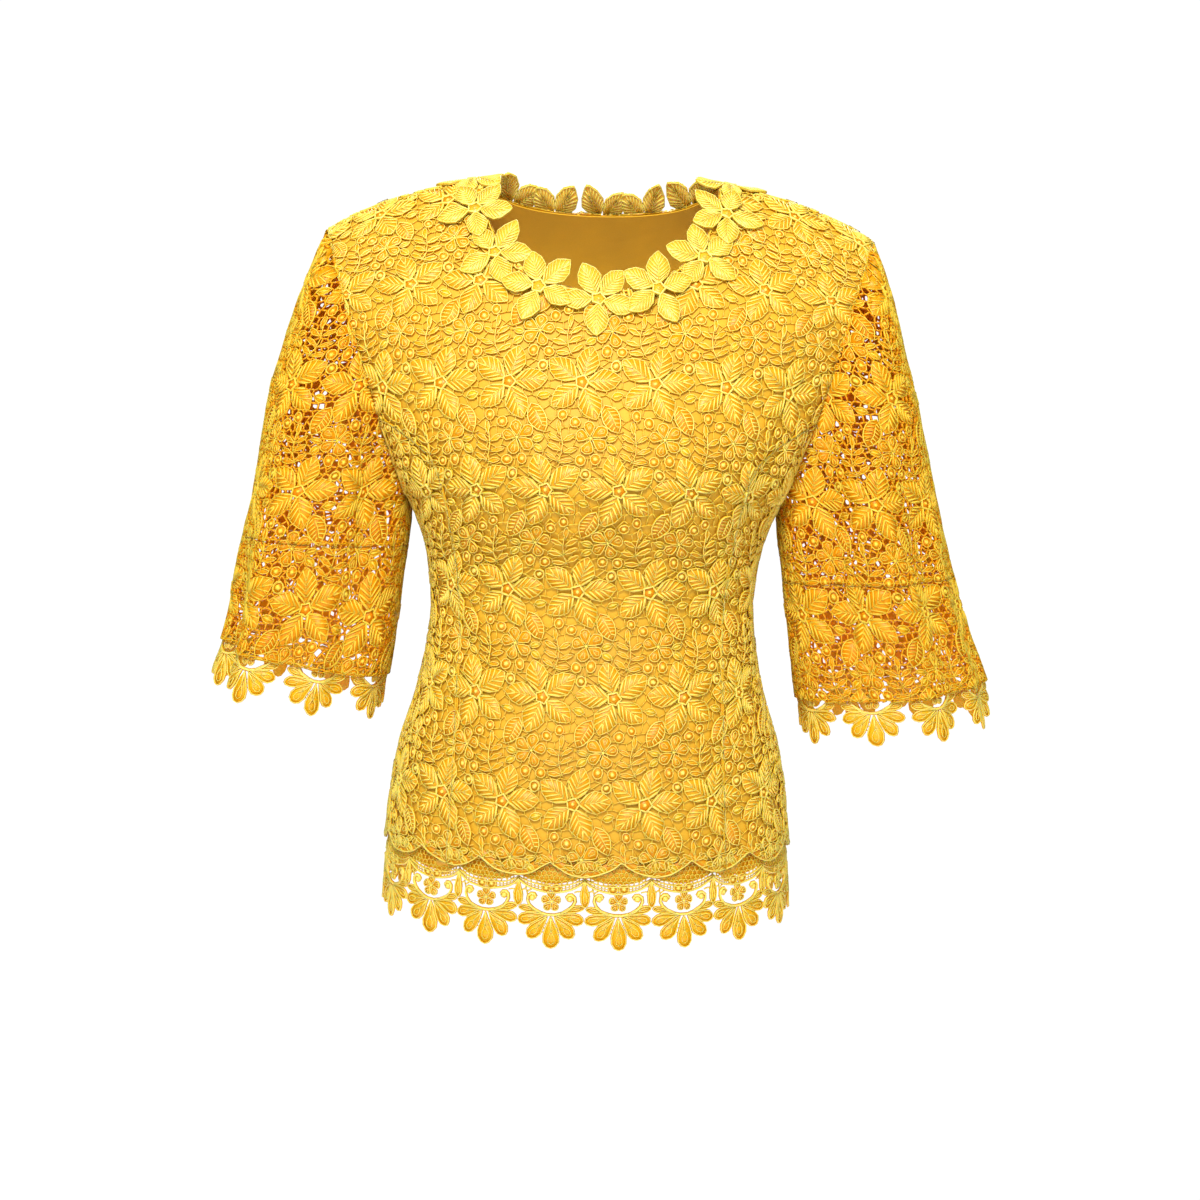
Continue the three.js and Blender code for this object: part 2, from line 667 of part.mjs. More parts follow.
// ---- The blouse ----------------------------------------------------------------------------------
const blouse = new THREE.Group();

/** Adds one named piece of cloth. */
function piece(name, geometry, finish) {
  const mesh = new THREE.Mesh(geometry, new THREE.MeshStandardMaterial(FINISH[finish]));
  mesh.name = name;
  blouse.add(mesh);
}

const BODY_SIDE = flushAtArmhole(-1);
const SLEEVE_SIDE = flushAtArmhole(1);
const both = [1, -1];
const lace = { foot: DOWN.hem, gap: SEAM_GAP / 2, laced: true };
const whole = { parts: ['centre', 'side'], sides: both };
const lining = { foot: DOWN.hem - HEM_FAN.top, gap: 0, laced: false, ...whole };

const panels = {
  front_centre: bodySheet(FRONT, { ...lace, parts: ['centre'], sides: both }),
  front_side_right: bodySheet(FRONT, { ...lace, parts: ['side'], sides: [1] }),
  front_side_left: bodySheet(FRONT, { ...lace, parts: ['side'], sides: [-1] }),
  back: bodySheet(BACK, { ...lace, parts: ['centre'], sides: both }),
};
for (const [name, sheet] of Object.entries(panels)) piece(name, sheet.wall(LACE, BODY_SIDE), 'lace');
piece('lining_front', bodySheet(FRONT, lining).wall(BACKING, BODY_SIDE), 'lining');
piece('lining_back', bodySheet(BACK, lining).wall(BACKING, BODY_SIDE), 'lining');

for (const [name, { join, cuff }] of Object.entries(SLEEVES)) {
  const upper = [...CAP_DROPS, join - SEAM_GAP / 2];
  const doubled = cuff - CUFF_FAN.top;   // from here down the edging lies behind the sleeve
  const lower = [join + SEAM_GAP / 2, (join + doubled) / 2, doubled, cuff];
  piece(`sleeve_upper_${name}`, sleevePiece(name, upper).wall(LACE, SLEEVE_SIDE), 'sleeve');
  piece(`sleeve_lower_${name}`, sleevePiece(name, lower).wall(LACE), 'sleeve');
  piece(`cuff_edging_${name}`, cuffEdging(name).wall(EDGING), 'trim');
}
piece('neck_trim_front', neckTrim(FRONT).wall(APPLIQUE), 'trim');
piece('neck_trim_back', neckTrim(BACK).wall(APPLIQUE), 'trim');
piece('hem_edging', hemEdging().wall(EDGING), 'trim');

export default blouse;
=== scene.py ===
"""Finishes a worn, hollow lace blouse on its frame: lining, guipure lace, edgings and neck trim.

Everything is charted flat in millimetres, x along the cloth to the right, y up the cloth and z out
of it, and is then laid on the blouse's form. The form repeats the frame's own tables.
"""
import math

import bmesh
import bpy
import numpy as np
from bpy.props import FloatProperty, FloatVectorProperty, IntProperty, PointerProperty
from mathutils import Matrix, Vector


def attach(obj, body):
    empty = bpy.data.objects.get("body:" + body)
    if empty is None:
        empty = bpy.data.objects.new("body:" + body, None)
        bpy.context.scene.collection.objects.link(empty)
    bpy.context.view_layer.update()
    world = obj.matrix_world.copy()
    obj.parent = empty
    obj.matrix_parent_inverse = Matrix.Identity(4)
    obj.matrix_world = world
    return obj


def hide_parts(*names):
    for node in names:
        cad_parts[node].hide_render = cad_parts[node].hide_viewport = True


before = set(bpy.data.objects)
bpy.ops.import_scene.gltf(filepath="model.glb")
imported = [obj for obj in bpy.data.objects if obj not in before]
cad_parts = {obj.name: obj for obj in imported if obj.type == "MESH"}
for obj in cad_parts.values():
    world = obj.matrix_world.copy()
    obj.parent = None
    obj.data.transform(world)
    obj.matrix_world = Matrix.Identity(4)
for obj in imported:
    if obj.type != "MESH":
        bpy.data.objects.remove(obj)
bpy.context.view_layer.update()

bl_info = {
    "name": "Lace Blouse",
    "version": (1, 0, 0),
    "blender": (4, 5, 0),
    "location": "3D View > Sidebar > Blouse",
    "description": "Sews a worn lace blouse on its frame and sets it on a plain stage",
    "category": "Mesh",
}

MM = 0.001

# ---- The form's tables, in millimetres ----
BODY_COLUMNS = ("level", "drop", "side_drop", "half", "front", "back", "square", "turn", "seam")
BODY_ROWS = (
    ("shoulder seam", -6, 37, 213, 0, 0, 2.0, 1.00, 230),
    ("yoke top", 14, 48, 0, 30, 40, 2.0, 1.00, 230),
    ("yoke", 56, 75, 0, 64, 84, 2.0, 0.95, 230),
    ("upper chest", 108, 115, 0, 96, 108, 2.1, 0.85, 230),
    ("chest", 160, 168, 0, 118, 118, 2.1, 0.72, 182),
    ("bust", 205, 213, 0, 130, 118, 2.2, 0.58, 124),
    ("armpit", 235, 243, 147, 130, 112, 2.2, 0.48, 112),
    ("under bust", 263, 266, 137, 119, 104, 2.2, 0.46, 107),
    ("midriff", 292, 293, 130, 107, 95, 2.2, 0.45, 103),
    ("waist", 332, 332, 127, 101, 88, 2.2, 0.45, 100),
    ("high hip", 388, 387, 135, 109, 97, 2.2, 0.45, 101),
    ("hip", 452, 450, 153, 119, 110, 2.2, 0.45, 103),
    ("hem", 522, 519, 162, 124, 115, 2.2, 0.45, 106),
    ("edging foot", 580, 576, 166, 126, 117, 2.2, 0.45, 108),
)
GAUGE = 105            # the way down is measured on the front, this far from the centre
SIDE_TOP_WIDTH = 6     # of a side panel where it begins at the armhole
ARMHOLE = {"tip_x": 213, "tip_drop": 37, "pit_x": 147, "pit_drop": 243, "front": 52, "back": 56}
NECK = {"half": 92, "front": 116, "back": 38, "round": 2.3}
SCALLOP = {"across": 54, "rise": 11}
HEM_FAN = {"across": 51, "top": 13, "foot": 56, "cut": 0.071}   # cut is in metres
CUFF_FAN = {"count": 8, "foot": 34, "cut": 0.046}
TRIM = {"inset": 8.5, "lift": 1.3, "cut": 0.05}   # lift is of every other flower
FOLD = 1.6             # the cloth's folds against those of its frame
BODY_FOLDS = (   # troughs between two places: face, x, drop, x, drop, how wide, how deep
    (-1, 168, 128, 118, 262, 13, 4.5),
    (-1, -166, 150, -112, 250, 12, 3.5),
    (-1, 136, 300, 66, 352, 11, 3),
    (-1, -134, 312, -72, 372, 10, 3),
    (-1, -92, 398, -112, 560, 15, 3.5),
    (-1, 98, 410, 120, 560, 13, 3.5),
    (1, -150, 150, -70, 250, 15, 4),
    (1, 142, 160, 60, 240, 14, 4),
    (1, -120, 330, 10, 318, 11, 4),
    (1, 124, 352, -24, 348, 10, 3.5),
    (1, 40, 420, 64, 570, 17, 5),
    (1, -56, 440, -80, 570, 16, 4),
)
SLEEVE_COLUMNS = ("level", "drop", "inner", "outer_right", "outer_left", "front_right",
                  "front_left", "back_right", "back_left")
SLEEVE_ROWS = (
    ("cap top", 37, 213, 213, 213, 0, 0, 0, 0),
    ("cap", 50, 209, 217, 217, 30, 30, 32, 32),
    ("high cap", 78, 200, 228, 229, 48, 48, 52, 52),
    ("cap side", 120, 186, 240, 244, 60, 60, 64, 64),
    ("low cap", 170, 170, 254, 258, 66, 68, 68, 71),
    ("pit", 243, 149, 272, 270, 64, 71, 68, 75),
    ("forearm", 300, 155, 289, 283, 62, 72, 66, 77),
    ("flare", 350, 163, 306, 292, 62, 74, 67, 79),
    ("cuff", 385, 168, 320, 304, 63, 76, 68, 81),
    ("edging foot", 425, 173, 330, 313, 64, 78, 69, 83),
)
SLEEVES = {   # flower is how far to the right the lace's first big flower is
    "right": {"side": 1, "join": 300, "cuff": 384, "tilt": 16, "flower": 12.0},
    "left": {"side": -1, "join": 278, "cuff": 362, "tilt": 26, "flower": -20.0},
}
SLEEVE_FLOWER_DROP = 240.0
BODY_FLOWER = {"front": -10.5, "back": 11.0, "drop": 308, "back_higher": 30}
SLEEVE_RADIUS = 66     # about the middle of a sleeve, for the depth of its folds
SLEEVE_FOLDS = {   # degrees round from the outermost line, how wide, how deep, from and to a drop
    "right": ((-118, 17, 7, 110, 330), (-84, 15, -4, 150, 440), (-52, 13, 5, 190, 470),
              (-20, 14, 4, 240, 480), (48, 17, 6, 170, 460), (104, 18, 7, 140, 440)),
    "left": ((-126, 15, 6, 150, 400), (-92, 16, 6, 250, 470), (-60, 14, -4, 200, 470),
             (-34, 12, 7, 260, 480), (40, 18, 5, 180, 450), (98, 17, 7, 150, 460)),
}

# ---- Layers of cloth out of the form, in millimetres ----
LINING = {"outer": -0.3, "wall": 1.0, "grid": 9}
EDGING_OUT = -1.9
TRIM_OUT = 3.0
LACE_OUT = 0.5         # the lace stands off its lining
PLATE = 0.7            # thickness of satin-stitched cloth
CORD_TOP = 1.9         # height of the raised cords
PETAL = {"length": 24.5, "width": 17.0, "from_centre": 4.2}   # of a big flower
SWELL = 0.7            # how far the lace swells between its low places
UNEVEN = 0.3           # how far its threads stray from the chart
FLUSH = 0.1            # from a seam of the body to the lace on each side of it
JOIN_GAP = 0.2         # from the join of a sleeve to the lace on each side of it
WELD = 500             # places to a millimetre, which are joined
UNDERSIDE = -0.6       # how far out a face points, below which it is an underside
SEAM_CORD = {"width": 1.6, "top": 1.2, "base": 0.0, "low": 0.15, "fine": True}

# ---- How far the charts and the repeats reach past the panels, in millimetres ----
ABOVE_SHOULDER = 44
ABOVE_HEM = 30
ABOVE_CUFF = 14
BELOW_FOOT = 4
BELOW_FANS = 8
BELOW_CUFF = 44
BELOW_CUFF_FANS = 40
BESIDE_REPEAT = (40, 60)
OVER_REPEAT = (160, 40)
PLACES = 161           # across each row of a chart before they are spread evenly

# ---- Curves ----

def smooth(knots, values):
    """A smooth curve through values at rising knots, on arrays."""
    knots, values = np.array(knots, float), np.array(values, float)
    last = len(knots) - 1
    before = np.maximum(np.arange(last + 1) - 1, 0)
    after = np.minimum(np.arange(last + 1) + 1, last)
    slopes = (values[after] - values[before]) / (knots[after] - knots[before])

    def curve(at):
        i = np.clip(np.searchsorted(knots, at, side="right") - 1, 0, last - 1)
        span = knots[i + 1] - knots[i]
        t = np.clip((at - knots[i]) / span, 0, 1)
        return (values[i] * (2 * t**3 - 3 * t**2 + 1) + slopes[i] * span * (t**3 - 2 * t**2 + t)
                + values[i + 1] * (3 * t**2 - 2 * t**3) + slopes[i + 1] * span * (t**3 - t**2))
    return curve


def neck_size(x, y, depth, power=NECK["round"]):
    """Below 1 inside the neck's edge, above 1 outside it."""
    return (np.abs(x) / NECK["half"]) ** power + (np.abs(y) / depth) ** power


def neck_line(angle, half, depth):
    """The neck's edge as complex points, from 0, its left end, to pi, its right end."""
    power = 2 / NECK["round"]
    across = -np.sign(np.cos(angle)) * np.abs(np.cos(angle)) ** power * half
    return across - 1j * np.abs(np.sin(angle)) ** power * depth


def ease(start, end, at):
    """0 before start, 1 after end, smooth between."""
    t = np.clip((at - start) / (end - start), 0, 1)
    return t * t * (3 - 2 * t)


# ---- The body's form ----

def armhole(drop, face):
    """The armhole's edge at a drop: its x and its y, on the front (-1) or the back (1)."""
    mid = (ARMHOLE["tip_drop"] + ARMHOLE["pit_drop"]) / 2
    lean = np.clip((mid - drop) / (ARMHOLE["pit_drop"] - mid), -1, 1)
    tip, pit = ARMHOLE["tip_x"], ARMHOLE["pit_x"]
    depth = np.where(face < 0, ARMHOLE["front"], ARMHOLE["back"]) * np.sqrt(1 - lean**2)
    return (tip + pit) / 2 + lean * (tip - pit) / 2, face * depth


def body_rows():
    """The body's rows with the way down along the cloth."""
    rows = [dict(zip(BODY_COLUMNS, row)) for row in BODY_ROWS]
    down, before = 0.0, None
    for row in rows:
        open_edge = row["side_drop"] < ARMHOLE["pit_drop"]
        x, y = armhole(row["side_drop"], -1)
        row["half"] = float(x) if open_edge else row["half"]
        edge = -float(y) if open_edge else 0.0
        share = GAUGE / row["half"]
        shape = (1 - share**row["square"]) ** row["turn"]
        gauge = np.array([edge + (row["front"] - edge) * shape,
                          row["drop"] + (row["side_drop"] - row["drop"]) * share**3])
        down += 0.0 if before is None else float(np.linalg.norm(gauge - before))
        row["down"], before = down, gauge
    return rows


ROWS = body_rows()
DOWN = {row["level"]: row["down"] for row in ROWS}


def body_curve(front, back, turned=1):
    """A column over the way down: the front's below zero is the back's."""
    behind = ROWS[:0:-1]
    knots = [-row["down"] for row in behind] + [row["down"] for row in ROWS]
    return smooth(knots, [turned * row[back] for row in behind] + [row[front] for row in ROWS])


BODY = {column: body_curve(column, column) for column in BODY_COLUMNS[1:]
        if column not in ("front", "back")}
BODY_DEPTH = body_curve("front", "back", turned=-1)   # from the front, below zero on the back


def body_fold(face, x, drop):
    """How far the folds sink the cloth at places."""
    sunk = np.zeros(np.broadcast(x, drop).shape)
    for own, x0, d0, x1, d1, wide, deep in BODY_FOLDS:
        long = math.hypot(x1 - x0, d1 - d0)
        t = ((x - x0) * (x1 - x0) + (drop - d0) * (d1 - d0)) / long**2
        off = ((x - x0) * (d1 - d0) - (drop - d0) * (x1 - x0)) / long
        fade = ease(-0.15, 0.35, t) * (1 - ease(0.65, 1.15, t))
        sunk += np.where(face == own, FOLD * deep * fade * np.exp(-(off / wide) ** 2), 0)
    return sunk


def body_point(share, down):
    """Points of the body: share is -1 to 1 across, down is the way from the shoulder seam."""
    face = np.where(down < 0, 1, -1)
    side_drop = BODY["side_drop"](down)
    x_edge, y_edge = armhole(side_drop, face)
    is_open = (side_drop < ARMHOLE["pit_drop"]) & (np.abs(down) < DOWN["armpit"])
    x_edge = np.where(is_open, x_edge, BODY["half"](down))
    y_edge = np.where(is_open, y_edge, 0)
    s = np.minimum(np.abs(share), 1)
    x = x_edge * share
    drop = BODY["drop"](down) + (side_drop - BODY["drop"](down)) * s**3
    shape = np.maximum(1 - s ** BODY["square"](down), 0) ** BODY["turn"](down)
    depth = -BODY_DEPTH(down) - y_edge
    sunk = body_fold(face, x, drop) * ease(0, 0.25, 1 - s) * ease(20, 60, np.abs(down))
    y = y_edge + depth * shape - face * sunk
    return np.stack([x, y, -drop], -1)


def sleeve_form(name):
    """Points of one sleeve: across is -1 (its front inner line) to 1 (its back inner line)."""
    sleeve = SLEEVES[name]
    rows = [dict(zip(SLEEVE_COLUMNS, row)) for row in SLEEVE_ROWS]
    drops = [row["drop"] for row in rows]
    inner = smooth(drops, [row["inner"] for row in rows])
    outer, front, back = (smooth(drops, [row[f"{column}_{name}"] for row in rows])
                          for column in ("outer", "front", "back"))

    def form(across, drop):
        face = np.where(across < 0, -1, 1)
        x_hole, y_hole = armhole(drop, face)
        cut = drop < ARMHOLE["pit_drop"]
        x_edge = np.where(cut, x_hole, inner(drop))
        y_edge = np.where(cut, np.abs(y_hole), 0)
        depth = np.maximum(np.where(face < 0, front(drop), back(drop)), y_edge + 0.5)
        end = np.where(cut, np.pi - np.arcsin(np.clip(y_edge / depth, 0, 1)), np.pi)
        angle = end * np.abs(across)
        reach = (np.maximum(outer(drop), x_edge + 0.2) - x_edge) / (1 - np.cos(end))
        swell = np.ones(np.broadcast(across, drop).shape)
        for at, wide, deep, start, stop in SLEEVE_FOLDS[name]:
            fade = ease(start, start + 90, drop) * (1 - ease(stop, stop + 90, drop))
            off = (face * np.degrees(angle) - at) / wide
            swell = swell - FOLD * deep / SLEEVE_RADIUS * fade * np.exp(-off * off)
        x = np.maximum(outer(drop), x_edge + 0.2) - reach + reach * np.cos(angle) * swell
        lower = (sleeve["tilt"] * ease(ARMHOLE["pit_drop"], sleeve["cuff"], drop)
                 * (1 - np.cos(angle)) / 2)
        y = face * depth * np.sin(angle) * swell
        return np.stack([sleeve["side"] * x, y, -drop - lower], -1)
    return form


class Cloth:
    """A stretch of the form charted flat: u mm to the right of its middle line, v mm down it."""

    GRID = 2.0         # between the chart's lines
    NEAR = 0.004       # across, for a normal
    NEAR_DOWN = 1.5    # down it, for a normal

    def __init__(self, point, top, foot, across=None, even_at=None):
        self.top, self.foot = top, foot
        self.v = np.arange(top, foot + self.GRID, self.GRID)
        if across is None:
            across = np.sin(np.linspace(-1, 1, PLACES) * np.pi / 2)
        rim = point(across[None, :], self.v[:, None])
        steps = np.linalg.norm(np.diff(rim, axis=1), axis=2)
        length = np.concatenate([np.zeros((len(self.v), 1)), np.cumsum(steps, axis=1)], axis=1)
        length -= length[:, len(across) // 2][:, None]
        if even_at is not None:   # every row is stretched to the length of this one
            length = np.tile(length[np.argmin(np.abs(self.v - even_at))], (len(self.v), 1))
        self.across, self.length = across, length
        self.first = length[:, 0]
        self.wide = np.maximum(length[:, -1] - length[:, 0], 1e-6)
        self.ring = float(length[0, -1] - length[0, 0])
        self.columns = int(self.wide.max() / self.GRID)
        ways = self.first[:, None] + np.linspace(0, 1, self.columns + 1) * self.wide[:, None]
        share = np.array([np.interp(way, row, across) for way, row in zip(ways, length)])
        down = np.broadcast_to(self.v[:, None], share.shape)
        self.place = point(share, down)
        left, right = np.maximum(share - self.NEAR, -1), np.minimum(share + self.NEAR, 1)
        side = point(right, down) - point(left, down)
        fall = (point(share, down + self.NEAR_DOWN)
                - point(share, np.maximum(down - self.NEAR_DOWN, top)))
        out = np.cross(side, -fall)
        self.out = out / np.maximum(np.linalg.norm(out, axis=2, keepdims=True), 1e-9)

    def u_at(self, across, v):
        """The length along the cloth at a share across, for arrays of the way down."""
        v = np.atleast_1d(v)
        row = np.clip(np.round((v - self.v[0]) / self.GRID).astype(int), 0, len(self.v) - 1)
        across = np.broadcast_to(across, v.shape)
        return np.array([np.interp(one, self.across, self.length[r])
                         for one, r in zip(across, row)])

    def lay(self, flat):
        """Lays flat points (x, y up, z out) on the form."""
        row = np.clip((-flat[:, 1] - self.v[0]) / self.GRID, 0, len(self.v) - 1.001)
        i = row.astype(int)
        s = (row - i)[:, None]

        def on_row(table, i):
            column = (flat[:, 0] - self.first[i]) / self.wide[i] * self.columns
            column = np.clip(column, 0, self.columns - 1e-6)
            j = column.astype(int)
            t = (column - j)[:, None]
            return table[i, j] * (1 - t) + table[i, j + 1] * t

        def mix(table):
            return on_row(table, i) * (1 - s) + on_row(table, i + 1) * s
        out = mix(self.out)
        out /= np.linalg.norm(out, axis=1, keepdims=True)
        return mix(self.place) + out * flat[:, 2:3]


FRONT, BACK = (Cloth(point, -ABOVE_SHOULDER, DOWN["edging foot"] + BELOW_FOOT)
               for point in (body_point, lambda share, v: body_point(-share, -v)))


def ring_point(around, down):
    """Points of the body all round: 0 is centre front, 0.5 the right side, 1 centre back."""
    ahead = np.abs(around) <= 0.5
    share = np.where(ahead, 2 * around, np.sign(around) * (2 - 2 * np.abs(around)))
    return body_point(share, np.where(ahead, down, -down))


def sleeve_point(name):
    """Points of a sleeve with across from left to right, seen from outside."""
    form, side = sleeve_form(name), SLEEVES[name]["side"]
    return lambda across, v: form(side * across, v)


EVEN_WAYS = np.linspace(-1, 1, PLACES)
TURN = np.linspace(-2, 2, 2 * PLACES - 1)
RING_WAYS = np.where(np.abs(TURN) <= 1, np.sin(TURN * np.pi / 2) / 2,
                     np.sign(TURN) * (1 - np.sin((2 - np.abs(TURN)) * np.pi / 2) / 2))
HEM_RING = Cloth(ring_point, DOWN["hem"] - ABOVE_HEM, DOWN["edging foot"] + BELOW_FANS,
                 RING_WAYS, DOWN["hem"])
SLEEVE_CLOTH = {name: Cloth(sleeve_point(name), ARMHOLE["tip_drop"],
                            sleeve["cuff"] + BELOW_CUFF, EVEN_WAYS)
                for name, sleeve in SLEEVES.items()}


# ---- Panels: what of a cloth is cut out ----

class Panel:
    """A panel cut from a cloth: its left and right edges, its top and its foot."""

    def __init__(self, cloth, left, right, top, foot, neck=0.0):
        self.cloth, self.top, self.foot, self.neck = cloth, top, foot, neck
        self.end = float(foot(np.zeros(1))[0])   # its foot in the middle
        self.left = lambda v: np.interp(v, cloth.v, left)
        self.right = lambda v: np.interp(v, cloth.v, right)

    def keep(self, flat):
        """Moves points that lie outside the panel to its edge, and says which lay inside."""
        u, v = flat[:, 0].copy(), -flat[:, 1]
        if self.neck:
            size = neck_size(u, v, self.neck)
            grow = np.where(size < 1, np.maximum(size, 1e-4) ** (-1 / NECK["round"]), 1)
            u, v = u * grow, v * grow
        v = np.clip(v, self.top, self.foot(u))
        u = np.clip(u, self.left(v), self.right(v))
        moved = np.hypot(u - flat[:, 0], v + flat[:, 1])
        return np.stack([u, -v, flat[:, 2]], 1), moved < 1e-6

    def ways(self, step):
        """The ways down at even steps of its left and right edges."""
        return np.linspace(self.top, self.end, max(int((self.end - self.top) / step), 2))

    def cut(self):
        """Its flat width, length and area, in metres."""
        v = self.ways(2.0)
        wide = np.maximum(self.right(v) - self.left(v), 0)
        if self.neck:
            t = np.clip(v / self.neck, 0, 1)
            wide = wide - 2 * NECK["half"] * (1 - t ** NECK["round"]) ** (1 / NECK["round"])
        area = float(np.sum((wide[1:] + wide[:-1]) / 2 * np.diff(v)))
        width = float((self.right(v) - self.left(v)).max())
        return width * MM, float(v[-1] - v[0]) * MM, area * MM * MM


def scallops(u):
    """The lace's scalloped foot at lengths from the centre line."""
    t = np.abs(u / SCALLOP["across"] - np.round(u / SCALLOP["across"])) * 2
    return DOWN["hem"] - SCALLOP["rise"] * t**2.2


def level_foot(v):
    """A straight foot."""
    return lambda u: np.full(np.shape(u), float(v))


def body_panels():
    """The lace panels and the lining of the body by name."""
    v = FRONT.v
    share = np.where(BODY["seam"](v) < BODY["half"](v) - SIDE_TOP_WIDTH,
                     BODY["seam"](v) / BODY["half"](v), 1)
    share = np.where(v < DOWN["chest"], 1, share)
    seam_right, seam_left = FRONT.u_at(share, v), FRONT.u_at(-share, v)
    start = v[np.argmax(share < 1)]
    end_left, end_right = FRONT.length[:, 0], FRONT.length[:, -1]
    back_left, back_right = BACK.length[:, 0], BACK.length[:, -1]
    backing = level_foot(DOWN["hem"] - HEM_FAN["top"])
    return {
        "front_centre": Panel(FRONT, seam_left + FLUSH, seam_right - FLUSH, 0, scallops,
                              NECK["front"]),
        "front_side_right": Panel(FRONT, seam_right + FLUSH, end_right - FLUSH, start, scallops),
        "front_side_left": Panel(FRONT, end_left + FLUSH, seam_left - FLUSH, start, scallops),
        "back": Panel(BACK, back_left + FLUSH, back_right - FLUSH, 0, scallops, NECK["back"]),
        "lining_front": Panel(FRONT, end_left, end_right, 0, backing, NECK["front"]),
        "lining_back": Panel(BACK, back_left, back_right, 0, backing, NECK["back"]),
    }


def sleeve_panels():
    """The lengths of the sleeves by name."""
    panels = {}
    for name, cloth in SLEEVE_CLOTH.items():
        left, right = cloth.length[:, 0], cloth.length[:, -1]
        join, cuff = SLEEVES[name]["join"], SLEEVES[name]["cuff"]
        for part, top, foot in (("upper", ARMHOLE["tip_drop"] + 1, join - JOIN_GAP),
                                ("lower", join + JOIN_GAP, cuff)):
            panels[f"sleeve_{part}_{name}"] = Panel(cloth, left, right, top, level_foot(foot))
    return panels


BODY_PANELS = body_panels()
SLEEVE_PANELS = sleeve_panels()

# ---- Drawing lace flat ----

def leaf(length, width, belly, points, blunt):
    """A leaf's outline from 0 along +x, as complex points; a high belly makes it a drop."""
    t = np.linspace(0, 1, points + 1)
    if belly > 1:
        t = (1 - np.cos(np.pi * t)) / 2
    half = width / 2 * np.maximum(np.sin(np.pi * t**belly), 0) ** blunt
    upper = (length * t + 1j * half)[::-1]
    return np.concatenate([length * t - 1j * half, upper[1:-1]])


def circle(centre, radius, points, squash=1.0):
    """Points of a ring."""
    angle = np.arange(points) / points * 2 * np.pi
    return centre + radius * (np.cos(angle) + 1j * squash * np.sin(angle))


def way(root, tip):
    """From a root to a tip: the whole way, its direction and its length."""
    along = tip - root
    return along, along / abs(along), abs(along)


